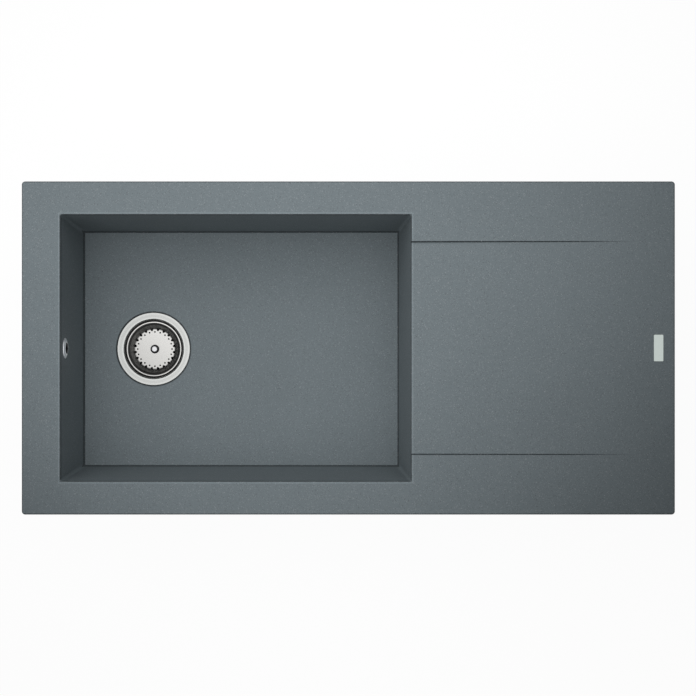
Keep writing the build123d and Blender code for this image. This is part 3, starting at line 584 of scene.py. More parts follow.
@dataclass(frozen=True)
class Moulded:
    """Moulded plastic or rubber with a fine grain and slight changes of tone."""

    roughness: float
    grain: float = 0.5 * MM
    patch: float = 14 * MM
    rough_grain: float = 0.10
    rough_patch: float = 0.16
    relief: float = 0.03 * MM
    bump: float = 0.7
    mottle: float = 0.06
    specular: float = 0.5

    def material(self, slot: Slot) -> bpy.types.Material:
        """Build the material of a slot.

        Args:
            slot: The slot, which gives the plastic's colour.

        Returns:
            The material.
        """
        shader = Shader.material(slot.value)
        points = shader.points()
        grain = shader.noise(points, self.grain, 2.0)
        patch = shader.noise(points, self.patch, 3.0)
        rough = self.roughness + self.rough_patch * (patch - 0.5)
        return shader.surface(
            {
                "Base Color": shader.tone(slot.colour, 1 - self.mottle + self.mottle * (patch + grain)),
                "Roughness": rough + self.rough_grain * (grain - 0.5),
                "Specular IOR Level": self.specular,
                "Normal": shader.bump(grain, self.relief, self.bump),
            }
        )


@dataclass(frozen=True)
class Foam:
    """Closed-cell foam: small open cut cells in a dark, dull surface."""

    cell: float = 0.6 * MM
    cut: tuple[float, float] = (0.1, 0.6)
    deep_tone: float = 0.7
    wall_tone: float = 0.6
    depth: float = 0.12 * MM
    bump: float = 0.8
    roughness: float = 0.88
    rough_cell: float = 0.08
    specular: float = 0.2

    def material(self, slot: Slot) -> bpy.types.Material:
        """Build the material of a slot.

        Args:
            slot: The slot, which gives the foam's colour.

        Returns:
            The material.
        """
        shader = Shader.material(slot.value)
        inputs = {"Vector": shader.points(), "Scale": 1 / self.cell}
        cell = shader.node("ShaderNodeTexVoronoi", inputs=inputs, output="Distance")
        wall = cell.ramp(*self.cut)
        return shader.surface(
            {
                "Base Color": shader.tone(slot.colour, self.deep_tone + self.wall_tone * wall),
                "Roughness": self.roughness + self.rough_cell * (wall - 0.5),
                "Specular IOR Level": self.specular,
                "Normal": shader.bump(wall, self.depth, self.bump),
            }
        )


Finish = GraniteComposite | Metal | Moulded | Foam
RUBBER = Moulded(0.66, specular=0.35)
WHITE = Moulded(0.38, relief=0.02 * MM, mottle=0.03)
ZINC = Metal(0.36, pitch=1.6 * MM, shade=0.2, marks=0.16)


@functools.cache
def paint(finish: Finish, slot: Slot) -> bpy.types.Material:
    """The material of a finish in a slot's colour, built once."""
    return finish.material(slot)


# ---- modelling toolkit ------------------------------------------------------------------------
class Kind(Enum):
    """What a selection holds, as Blender's switches for points, edges and faces."""

    EDGES = (False, True, False)
    FACES = (False, False, True)


def middle_of(edge: bmesh.types.BMEdge) -> Vector:
    """Middle of an edge."""
    return (edge.verts[0].co + edge.verts[1].co) / 2


def rise_of(edge: bmesh.types.BMEdge) -> float:
    """How much higher one end of an edge is than the other."""
    return abs(edge.verts[0].co.z - edge.verts[1].co.z)


def is_open(edge: bmesh.types.BMEdge) -> bool:
    """Whether an edge borders one face or none."""
    return len(edge.link_faces) < 2


class Bench:
    """Blender's modelling operators, used as by hand on one piece at a time."""

    @staticmethod
    def clear() -> None:
        """Leave edit mode and deselect everything."""
        if bpy.context.mode != "OBJECT":
            bpy.ops.object.mode_set(mode="OBJECT")
        bpy.ops.object.select_all(action="DESELECT")

    @staticmethod
    def take(*pieces: bpy.types.Object) -> None:
        """Select pieces alone.

        Args:
            pieces: The pieces; the first becomes the active one.
        """
        Bench.clear()
        for piece in pieces:
            piece.select_set(True)
        bpy.context.view_layer.objects.active = pieces[0]

    @staticmethod
    def open(piece: bpy.types.Object, kind: Kind | None = None) -> None:
        """Start editing a piece, with all of it selected.

        Args:
            piece: The piece.
            kind: Whether edges or faces are then selected, if that matters.
        """
        Bench.take(piece)
        bpy.ops.object.mode_set(mode="EDIT")
        bpy.ops.mesh.select_all(action="SELECT")
        if kind:
            bpy.context.tool_settings.mesh_select_mode = kind.value

    @staticmethod
    def added(name: str) -> bpy.types.Object:
        """Name the primitive just added and fix its place in its mesh.

        Args:
            name: The piece's name.

        Returns:
            The piece.
        """
        piece = bpy.context.object
        piece.name = piece.data.name = name
        bpy.ops.object.transform_apply(location=True, rotation=True, scale=True)
        return piece

    @staticmethod
    def ring(name: str, sides: int, radius: float, height: float) -> bpy.types.Object:
        """Circle about Z, open for editing with its edges selected.

        Args:
            name: The piece's name.
            sides: How many sides it has.
            radius: The circle's radius.
            height: The circle's height.

        Returns:
            The ring.
        """
        Bench.clear()
        bpy.ops.mesh.primitive_circle_add(vertices=sides, radius=radius, location=(0, 0, height))
        ring = Bench.added(name)
        Bench.open(ring, Kind.EDGES)
        return ring

    @staticmethod
    def plate(name: str, place: Place, length: float, width: float) -> bpy.types.Object:
        """Level rectangle, open for editing with its face selected.

        Args:
            name: The piece's name.
            place: The rectangle's middle.
            length: Its size along X.
            width: Its size along Y.

        Returns:
            The plate.
        """
        Bench.clear()
        bpy.ops.mesh.primitive_plane_add(size=1, location=place)
        plate = Bench.added(name)
        Bench.open(plate, Kind.FACES)
        bpy.ops.transform.resize(value=(length, width, 1), center_override=place)
        return plate

    @staticmethod
    def draw(rings: Outline) -> None:
        """Extrude the selected circle, which is the first ring, through the others.

        Args:
            rings: Radius and height of each.
        """
        for (radius, height), (next_radius, next_height) in zip(rings, rings[1:]):
            rise = (0, 0, next_height - height)
            bpy.ops.mesh.extrude_edges_move(TRANSFORM_OT_translate={"value": rise})
            share = next_radius / radius
            bpy.ops.transform.resize(value=(share, share, 1), center_override=(0, 0, next_height))

    @staticmethod
    def pick(kind: Kind, test: Callable[[Item], bool]) -> int:
        """Select the parts of the open piece that pass a test.

        Args:
            kind: Whether edges or faces are picked.
            test: Says whether a part is picked.

        Returns:
            How many were picked.
        """
        bpy.context.tool_settings.mesh_select_mode = kind.value
        bpy.ops.mesh.select_all(action="DESELECT")
        data = bpy.context.object.data
        mesh = bmesh.from_edit_mesh(data)
        found = [item for item in (mesh.edges if kind is Kind.EDGES else mesh.faces) if test(item)]
        for item in found:
            item.select_set(True)
        mesh.select_flush_mode()
        bmesh.update_edit_mesh(data)
        return len(found)

    @staticmethod
    def close_ring(rise: float) -> None:
        """Extrude the selected ring by a rise and draw it together in a point."""
        bpy.ops.mesh.extrude_edges_move(TRANSFORM_OT_translate={"value": (0, 0, rise)})
        bpy.ops.mesh.merge(type="CENTER")

    @staticmethod
    def modify(piece: bpy.types.Object, kind: str, **settings: object) -> None:
        """Add a modifier and apply it.

        Args:
            piece: The piece.
            kind: The modifier's type.
            settings: Its settings, by name.
        """
        Bench.take(piece)
        modifier = piece.modifiers.new(kind.lower(), kind)
        for key, value in settings.items():
            setattr(modifier, key, value)
        bpy.ops.object.modifier_apply(modifier=modifier.name)

    @staticmethod
    def combine(
        piece: bpy.types.Object, tool: bpy.types.Object, operation: str = "DIFFERENCE"
    ) -> bpy.types.Object:
        """Cut a tool out of a piece, weld it on or keep what they share.

        Args:
            piece: The piece.
            tool: The tool, which is used up.
            operation: DIFFERENCE, UNION or INTERSECT.

        Returns:
            The piece.
        """
        Bench.modify(piece, "BOOLEAN", operation=operation, solver="EXACT", object=tool)
        bpy.data.objects.remove(tool)
        return piece

    @staticmethod
    def bevel(piece: bpy.types.Object, width: float, segments: int = 2, above: float = 40.0) -> None:
        """Round the edges that bend by more than an angle, in degrees."""
        Bench.modify(
            piece,
            "BEVEL",
            width=width,
            segments=segments,
            limit_method="ANGLE",
            angle_limit=math.radians(above),
            use_clamp_overlap=True,
        )

    @staticmethod
    def move(piece: bpy.types.Object, place: Matrix) -> bpy.types.Object:
        """Move a piece's mesh, leaving the object at the origin.

        Args:
            piece: The piece.
            place: Where it goes from where it is.

        Returns:
            The piece.
        """
        Bench.take(piece)
        piece.matrix_world = place
        bpy.ops.object.transform_apply(location=True, rotation=True, scale=True)
        return piece

    @staticmethod
    def copy(piece: bpy.types.Object, name: str, place: Matrix) -> bpy.types.Object:
        """Copy of a piece, with a mesh of its own, in another place.

        Args:
            piece: The piece.
            name: The copy's name.
            place: Where the copy goes.

        Returns:
            The copy.
        """
        Bench.take(piece)
        bpy.ops.object.duplicate(linked=False)
        twin = bpy.context.object
        twin.name = twin.data.name = name
        return Bench.move(twin, place)

    @staticmethod
    def ring_of(
        tool: bpy.types.Object, place: Matrix, count: int, phase: float = 0.0
    ) -> bpy.types.Object:
        """Copies of a tool evenly spaced about Z, joined in one object.

        Args:
            tool: What is copied; it becomes the first copy.
            place: Where it goes before it is turned about Z.
            count: How many there are.
            phase: Angle of the first one.

        Returns:
            The joined copies.
        """
        Bench.move(tool, place)
        Bench.move(tool, Matrix.Rotation(math.radians(phase), 4, "Z"))
        turns = [Matrix.Rotation(math.tau * i / count, 4, "Z") for i in range(1, count)]
        others = [Bench.copy(tool, f"{tool.name}_copy", turn) for turn in turns]
        Bench.take(tool, *others)
        bpy.ops.object.join()
        return tool

    @staticmethod
    def face_outwards() -> None:
        """Turn the open piece's faces outwards and close it."""
        bpy.ops.mesh.select_all(action="SELECT")
        bpy.ops.mesh.normals_make_consistent(inside=False)
        Bench.clear()


def rounded(corners: Profile, closed: bool = True, step: float = 15.0) -> Outline:
    """Outline through corners that are each rounded.

    Args:
        corners: Radius, height and rounding of each corner, in millimetres.
        closed: Whether the outline joins up, so that its ends are rounded too.
        step: Largest turn between two points of a rounding, in degrees.

    Returns:
        The outline's points, in metres.
    """
    outline = []
    for index, (across, up, radius) in enumerate(corners):
        corner = Vector((across, up))
        if radius == 0 or (not closed and index in (0, len(corners) - 1)):
            outline.append((across * MM, up * MM))
            continue
        before = (Vector(corners[index - 1][:2]) - corner).normalized()
        after = (Vector(corners[(index + 1) % len(corners)][:2]) - corner).normalized()
        half = before.angle(after) / 2
        centre = corner + (before + after).normalized() * radius / math.sin(half)
        spoke = corner + before * radius / math.tan(half) - centre
        turn = math.copysign(math.pi - 2 * half, before.x * after.y - before.y * after.x) * -1
        steps = max(1, math.ceil(abs(math.degrees(turn)) / step))
        for i in range(steps + 1):
            angle = turn * i / steps
            cosine, sine = math.cos(angle), math.sin(angle)
            x, y = spoke.x * cosine - spoke.y * sine, spoke.x * sine + spoke.y * cosine
            outline.append(((centre.x + x) * MM, (centre.y + y) * MM))
    return outline


def thickened(path: Outline, thickness: float) -> Outline:
    """Closed outline of a sheet: the path, and back along its left side.

    Args:
        path: The sheet's one side.
        thickness: How far off its other side is.

    Returns:
        The outline.
    """
    points = [Vector(point) for point in path]
    back = []
    for index, point in enumerate(points):
        ahead = points[min(index + 1, len(points) - 1)] - points[min(index, len(points) - 2)]
        behind = points[max(index, 1)] - points[max(index - 1, 0)]
        sides = [Vector((-run.y, run.x)).normalized() for run in (behind, ahead)]
        back.append(tuple(point + (sides[0] + sides[1]) * thickness / (1 + sides[0].dot(sides[1]))))
    return path + back[::-1]


def turned(name: str, outline: Outline, segments: int = 96) -> bpy.types.Object:
    """Turn an outline about Z: a circle is extruded and resized ring by ring.

    Args:
        name: The piece's name.
        outline: Radius and height of each ring. Where the first and last radius are 0, the ends
            close in points; otherwise the last ring joins the first.
        segments: Sides of the circle.

    Returns:
        The turned piece, about Z.
    """
    rings = [ring for ring in outline if ring[0] > 0]
    piece = Bench.ring(name, segments, *rings[0])
    Bench.draw(rings)
    if outline[-1][0] == 0:
        Bench.close_ring(outline[-1][1] - rings[-1][1])
        Bench.pick(Kind.EDGES, is_open)
        Bench.close_ring(outline[0][1] - rings[0][1])
    else:
        Bench.pick(Kind.EDGES, is_open)
        bpy.ops.mesh.bridge_edge_loops()
    Bench.face_outwards()
    return piece


def rod(name: str, radius: float, low: float, high: float, sides: int = 24) -> bpy.types.Object:
    """Bar about Z, round or with a few sides.

    Args:
        name: The piece's name.
        radius: Its radius, measured to its corners.
        low: Height of its lower end.
        high: Height of its upper end.
        sides: How many sides it has.

    Returns:
        The bar.
    """
    Bench.clear()
    place = (0, 0, (low + high) / 2)
    bpy.ops.mesh.primitive_cylinder_add(vertices=sides, radius=radius, depth=high - low, location=place)
    return Bench.added(name)


def block(name: str, low: Vector, high: Vector) -> bpy.types.Object:
    """Rectangular block between two corners.

    Args:
        name: The piece's name.
        low: Its lowest corner.
        high: Its highest corner.

    Returns:
        The block.
    """
    Bench.clear()
    bpy.ops.mesh.primitive_cube_add(size=1, location=(low + high) / 2)
    cube = Bench.added(name)
    Bench.open(cube)
    bpy.ops.transform.resize(value=tuple(high - low), center_override=tuple((low + high) / 2))
    Bench.clear()
    return cube


@dataclass(frozen=True)
class Thread:
    """Screw thread about Z."""

    crest: float
    pitch: float
    low: float
    high: float
    depth_share: float = 0.6134
    flank_share: float = 0.46
    steps: int = 32

    @property
    def core(self) -> float:
        """Radius at the thread's root."""
        return self.crest - self.depth_share * self.pitch

    def ridge(self) -> bpy.types.Object:
        """The thread's ridge: a diamond swept along the helix, its inner half in the core.

        Returns:
            The ridge, about Z.
        """
        Bench.clear()
        place = (self.core, 0, self.low)
        bpy.ops.mesh.primitive_circle_add(
            vertices=4, radius=1, location=place, rotation=(math.pi / 2, 0, 0)
        )
        ridge = Bench.added("ridge")
        Bench.open(ridge)
        depth = self.crest - self.core
        bpy.ops.transform.resize(value=(depth, 1, self.flank_share * self.pitch), center_override=place)
        Bench.modify(
            ridge,
            "SCREW",
            axis="Z",
            screw_offset=self.pitch,
            iterations=int((self.high - self.low) / self.pitch),
            steps=self.steps,
            render_steps=self.steps,
        )
        Bench.open(ridge)
        bpy.ops.mesh.fill_holes(sides=4)
        bpy.ops.mesh.normals_make_consistent(inside=False)
        Bench.clear()
        return ridge


# ---- putting pieces in the frame --------------------------------------------------------------
@dataclass(frozen=True)
class Span:
    """The box that a CAD node fills at rest."""

    low: Vector
    high: Vector

    @classmethod
    def of(cls, node: str) -> "Span":
        """Box of a node."""
        return cls(*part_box(node))

    @property
    def middle(self) -> Vector:
        """Middle of the box."""
        return (self.low + self.high) / 2

    @property
    def size(self) -> Vector:
        """Length, width and height."""
        return self.high - self.low


def aimed(origin: Vector, direction: Vector = UP) -> Matrix:
    """Moves what stands on Z at the origin to a point, along a direction."""
    turn = UP.rotation_difference(direction).to_matrix().to_4x4()
    return Matrix.Translation(origin) @ turn


def settle(
    piece: bpy.types.Object, node: str, finish: Finish, place: Matrix = Matrix(), smooth: float = 32.0
) -> None:
    """Put a piece in its place and let it stand for a CAD node, with that node's body and slot.

    Args:
        piece: The modelled piece.
        node: The CAD node.
        finish: How its surface looks.
        place: Where it goes from where it was modelled.
        smooth: Edges that bend by less, in degrees, are shaded smooth.
    """
    Bench.open(Bench.move(piece, place))
    bpy.ops.mesh.remove_doubles(threshold=SAME_POINT)
    bpy.ops.mesh.normals_make_consistent(inside=False)
    Bench.take(piece)
    bpy.ops.object.shade_smooth_by_angle(angle=math.radians(smooth))
    slot = Slot.of(node)
    piece.data.materials.clear()
    piece.data.materials.append(paint(finish, slot))
    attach(piece, body_of(frame["nodes"][node])[0])
    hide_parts(node)
    span = Span.of(node)
    points = [vertex.co for vertex in piece.data.vertices]
    over = max(
        max(max(p[i] for p in points) - span.high[i], span.low[i] - min(p[i] for p in points))
        for i in range(3)
    )
    faces = len(piece.data.polygons)
    log.info("%s for %s: %d faces, past it %.3f mm", piece.name, node, faces, over / MM)


def keep(node: str, finish: Finish) -> None:
    """Leave a CAD node showing, in a finish of its slot.

    Args:
        node: The CAD node.
        finish: How its surface looks.
    """
    piece, slot = frame["nodes"][node], Slot.of(node)
    for holder in piece.material_slots:
        holder.material = paint(finish, slot)
    log.info("%s stays, in %s", node, slot.value)


@dataclass
class OnAxis:
    """Pieces about one axis, modelled about Z at the origin and then put in their place."""

    place: Matrix

    def centred(self, metal: Metal) -> Metal:
        """A metal with its rings about the axis."""
        return replace(metal, centre=tuple(self.place.translation))

    def turn(self, name: str, node: str, corners: Profile, finish: Finish, sides: int = 64) -> None:
        """Turn a profile and settle it for its node."""
        settle(turned(name, rounded(corners), sides), node, finish, self.place)


# ---- sink -------------------------------------------------------------------------------------
@dataclass
class Casting:
    """The one-piece casting, its badge and the seal under its rim."""

    granite: GraniteComposite = GraniteComposite()
    plate: Metal = Metal(0.30, Brushing.LONG, tint=(0.85, 0.91, 0.885), pitch=0.12 * MM)
    foam: Foam = Foam()
    badge_corner: float = 1.2 * MM
    badge_chamfer: float = 0.3 * MM
    badge_border: float = 0.8 * MM
    badge_dish: float = 0.08 * MM
    seal_width: float = 4.8 * MM
    seal_corner: float = 5 * MM
    seal_edge: float = 0.45 * MM

    def build(self) -> None:
        """Dress the casting and model the badge and the seal."""
        keep("sink_body", self.granite)
        settle(self.badge(), "badge_plate", self.plate)
        settle(self.rim_seal(), "rim_seal", self.foam)

    def badge(self) -> bpy.types.Object:
        """Bare plate with rounded corners and a chamfered edge, slightly dished in its middle.

        Returns:
            The plate, in its place.
        """
        span = Span.of("badge_plate")
        plate = block("badge", span.low, span.high)
        Bench.open(plate)
        Bench.pick(Kind.EDGES, lambda e: rise_of(e) > self.badge_chamfer)
        bpy.ops.mesh.bevel(offset=self.badge_corner, segments=4, affect="EDGES")
        Bench.pick(Kind.FACES, lambda f: f.normal.z > LEVEL)
        bpy.ops.mesh.region_to_loop()
        bpy.ops.mesh.bevel(offset=self.badge_chamfer, segments=2, affect="EDGES")
        Bench.pick(Kind.FACES, lambda f: f.normal.z > LEVEL)
        bpy.ops.mesh.inset(thickness=self.badge_border)
        bpy.ops.transform.translate(value=(0, 0, -self.badge_dish))
        bpy.ops.mesh.region_to_loop()
        bpy.ops.mesh.mark_sharp()
        Bench.clear()
        return plate

    def rim_seal(self) -> bpy.types.Object:
        """Foam strip in its groove round the rim, with softened edges.

        Returns:
            The strip, in its place.
        """
        span = Span.of("rim_seal")
        foot = (span.middle.x, span.middle.y, span.low.z)
        strip = Bench.plate("rim_seal_strip", foot, span.size.x, span.size.y)
        bpy.ops.mesh.bevel(offset=self.seal_corner, segments=6, affect="VERTICES")
        bpy.ops.mesh.select_all(action="SELECT")
        bpy.ops.mesh.inset(thickness=self.seal_width, use_even_offset=True)
        bpy.ops.mesh.delete(type="FACE")
        bpy.ops.mesh.select_all(action="SELECT")
        bpy.ops.mesh.extrude_region_move(TRANSFORM_OT_translate={"value": (0, 0, span.size.z)})
        Bench.clear()
        Bench.bevel(strip, self.seal_edge, segments=3, above=60)
        return strip


# ---- drain ------------------------------------------------------------------------------------
@dataclass
class Strainer(OnAxis):
    """Flange, throat and foot of the strainer, spun from sheet, with the seal below its flange.

    The axis is the drain's, here and in the classes below, and heights are over the bowl's floor.
    """

    # Painted shade in the throat inside 45 mm, painted highlights on the rolled mouth and the flange's
    # outer edge, and a painted gradient of light across the flange.
    steel: Metal = Metal(
        0.27, Brushing.TURNED, tint=(0.95, 1.0, 1.03), pitch=0.5 * MM, painted_light_slant=(1.0, 0.2),
        painted_light_bands=(
            (0, 0.05), (45.0, 0.05), (46.4, 1.1), (48.8, 1.3), (50.5, 1.04),
            (53.5, 1.04), (55.2, 1.22), (58, 1.15),
        ),
    )
    sheet: float = 0.7 * MM
    path: Profile = (
        (57.5, -1.6, 0), (57.5, -0.25, 0.8), (47.5, -0.95, 2.0), (44.1, -6.0, 3.0),
        (44.1, -12.0, 0.8), (41.0, -12.6, 0.8), (36.5, -44.5, 2.5), (3.3, -44.5, 0),
    )
    window_count: int = 6
    window_radius: float = 5.5 * MM
    window_circle: float = 16 * MM
    window_phase: float = 30.0
    window_reach: float = 3 * MM
    seal: Profile = ((49, -3, 0.3), (57, -3, 0.3), (57, -1.6, 0.3), (49, -1.6, 0.3))

    def build(self) -> None:
        """Model the cup and the flange's seal."""
        settle(self.cup(), "strainer_cup", self.centred(self.steel), self.place)
        self.turn("flange_gasket", "flange_seal", self.seal, RUBBER)

    def cup(self) -> bpy.types.Object:
        """The spun sheet with the outlet windows punched in its foot.

        Returns:
            The cup, about Z.
        """
        outline = thickened(rounded(self.path, closed=False), self.sheet)
        cup = turned("strainer_flange_and_cup", outline, segments=144)
        foot = self.path[-1][1] * MM
        low, high = foot - self.window_reach, foot + self.window_reach
        window = rod("window", self.window_radius, low, high, sides=32)
        circle = Matrix.Translation((self.window_circle, 0, 0))
        return Bench.combine(cup, Bench.ring_of(window, circle, self.window_count, self.window_phase))


@dataclass
class Basket(OnAxis):
    """Lift-out basket: perforated sheet with a rolled rim, and the bush in its middle."""

    # Painted shade on the perforated wall and in the gap inside the rim, a painted highlight on the
    # rolled bead, and a painted gradient of light across the basket.
    steel: Metal = Metal(
        0.25, Brushing.TURNED, tint=(1.15, 1.18, 1.21), pitch=0.5 * MM, painted_light_slant=(2.4, 3.0),
        painted_light_bands=(
            (0, 1.0), (30.6, 1.0), (31.6, 0.36), (37.4, 0.36), (38.4, 0.1),
            (41.1, 0.1), (41.6, 1.15), (44, 1.15),
        ),
    )
    sheet: float = 0.7 * MM
    path: Profile = ((41.2, -10.4, 0), (40.0, -10.4, 0.8), (32.7, -28.0, 2.0), (4.1, -28.0, 0))
    bead_circle: float = 42.5 * MM
    bead_radius: float = 1.3 * MM
    bead_height: float = -10.4 * MM
    bead_flatness: float = 0.62
    bead_points: int = 20
    hole_count: int = 20
    floor_hole: tuple[float, float] = (1.35 * MM, 27.25 * MM)
    heel_hole: tuple[float, float] = (2.1 * MM, 31.4 * MM)
    heel_height: float = -27.7 * MM
    wall_hole: float = 1.3 * MM
    punch_reach: tuple[float, float, float] = (2 * MM, 3 * MM, 7 * MM)
    wall_middle: float = 36 * MM
    wall_rows: Sequence[float] = (-14.8 * MM, -18.1 * MM, -21.4 * MM, -24.7 * MM)
    bush: Profile = (
        (2.05, -30.3, 0), (4.0, -30.3, 0.4), (4.0, -28.0, 0), (7.0, -28.0, 0),
        (7.0, -26.7, 0.7), (3.4, -26.7, 0.3), (3.2, -27.1, 0.2), (2.05, -27.1, 0.2),
    )
    bush_plastic: Moulded = Moulded(0.7, specular=0.08)

    def build(self) -> None:
        """Model the basket and its bush."""
        settle(self.basket(), "strainer_basket", self.centred(self.steel), self.place)
        self.turn("basket_guide_bush", "basket_bush", self.bush, self.bush_plastic)

    def squared(self, share: float) -> float:
        """A sine or cosine moved towards a square with round corners, as the rim is rolled flat."""
        return math.copysign(abs(share) ** self.bead_flatness, share)

    def basket(self) -> bpy.types.Object:
        """The sheet with its rolled rim, and all its holes punched.

        Returns:
            The basket, about Z.
        """
        outline = thickened(rounded(self.path, closed=False, step=10), self.sheet)
        start = math.pi + math.asin(self.sheet / self.bead_radius)
        for i in range(self.bead_points):
            angle = start + (3 * math.pi - start) * i / self.bead_points
            across, up = self.squared(math.cos(angle)), self.squared(math.sin(angle))
            outline.append(
                (self.bead_circle + self.bead_radius * across, self.bead_height + self.bead_radius * up)
            )
        basket = turned("strainer_basket_sheet", outline, segments=160)
        half_step = 180.0 / self.hole_count
        floor = self.path[-1][1] * MM
        at_floor, at_heel, at_wall = self.punch_reach
        radius, circle = self.floor_hole
        punch = rod("punch", radius, floor - at_floor, floor + at_floor, sides=16)
        flat = Matrix.Translation((circle, 0, 0))
        Bench.combine(basket, Bench.ring_of(punch, flat, self.hole_count))
        radius, circle = self.heel_hole
        punch = rod("punch", radius, -at_heel, at_heel, sides=16)
        leaning = aimed(Vector((circle, 0, self.heel_height)), Vector((-1, 0, 1)))
        Bench.combine(basket, Bench.ring_of(punch, leaning, self.hole_count, half_step))
        for row, height in enumerate(self.wall_rows):
            punch = rod("punch", self.wall_hole, -at_wall, at_wall, sides=12)
            level = aimed(Vector((self.wall_middle, 0, height)), Vector((1, 0, 0)))
            Bench.combine(basket, Bench.ring_of(punch, level, self.hole_count, half_step * (row % 2)))
        return basket


@dataclass
class Stopper(OnAxis):
    """Pull knob, spindle and the sealed plate that closes the strainer's foot."""

    # The steel is painted down to 0.12 of its colour all over: painted shade deep in the drain.
    steel: Metal = Metal(0.5, Brushing.TURNED, painted_light_bands=((0, 0.12), (28, 0.12)))
    chrome: Metal = Metal(0.30, tint=(1.1, 1.11, 1.12), marks=0.02, relief=0.0, shade=0.04)
    knob: Profile = (
        (0, -20.1, 0), (2.0, -20.1, 0), (2.0, -24.1, 0), (4.1, -24.1, 0.5), (3.0, -21.3, 1.0),
        (4.5, -19.7, 0.6), (4.5, -16.9, 0.5), (3.9, -16.1, 1.2), (0, -16.1, 0),
    )
    spindle: Profile = (
        (0, -41.2, 0), (1.99, -41.2, 0.3), (1.99, -39.7, 0), (3.5, -39.7, 0.2), (3.5, -38.7, 0.3),
        (1.99, -38.7, 0), (1.99, -20.1, 0), (0, -20.1, 0),
    )
    plate: Profile = (
        (2.0, -41.2, 0), (27.0, -41.2, 0.2), (27.0, -39.7, 0.6), (20.0, -39.7, 1.0), (19.0, -40.1, 1.0),
        (9.0, -40.1, 1.0), (8.0, -39.7, 1.0), (2.0, -39.7, 0),
    )
    seal: Profile = (
        (8.0, -44.2, 0.4), (28.0, -44.2, 0.6), (28.0, -41.2, 0.8), (8.0, -41.2, 0.3),
    )

    def build(self) -> None:
        """Model the four pieces that move together."""
        steel = self.centred(self.steel)
        self.turn("pull_knob", "stopper_knob", self.knob, self.chrome)
        self.turn("spindle", "stopper_spindle", self.spindle, steel)
        self.turn("stopper_disc", "stopper_plate", self.plate, steel)
        self.turn("stopper_gasket", "stopper_seal", self.seal, RUBBER)


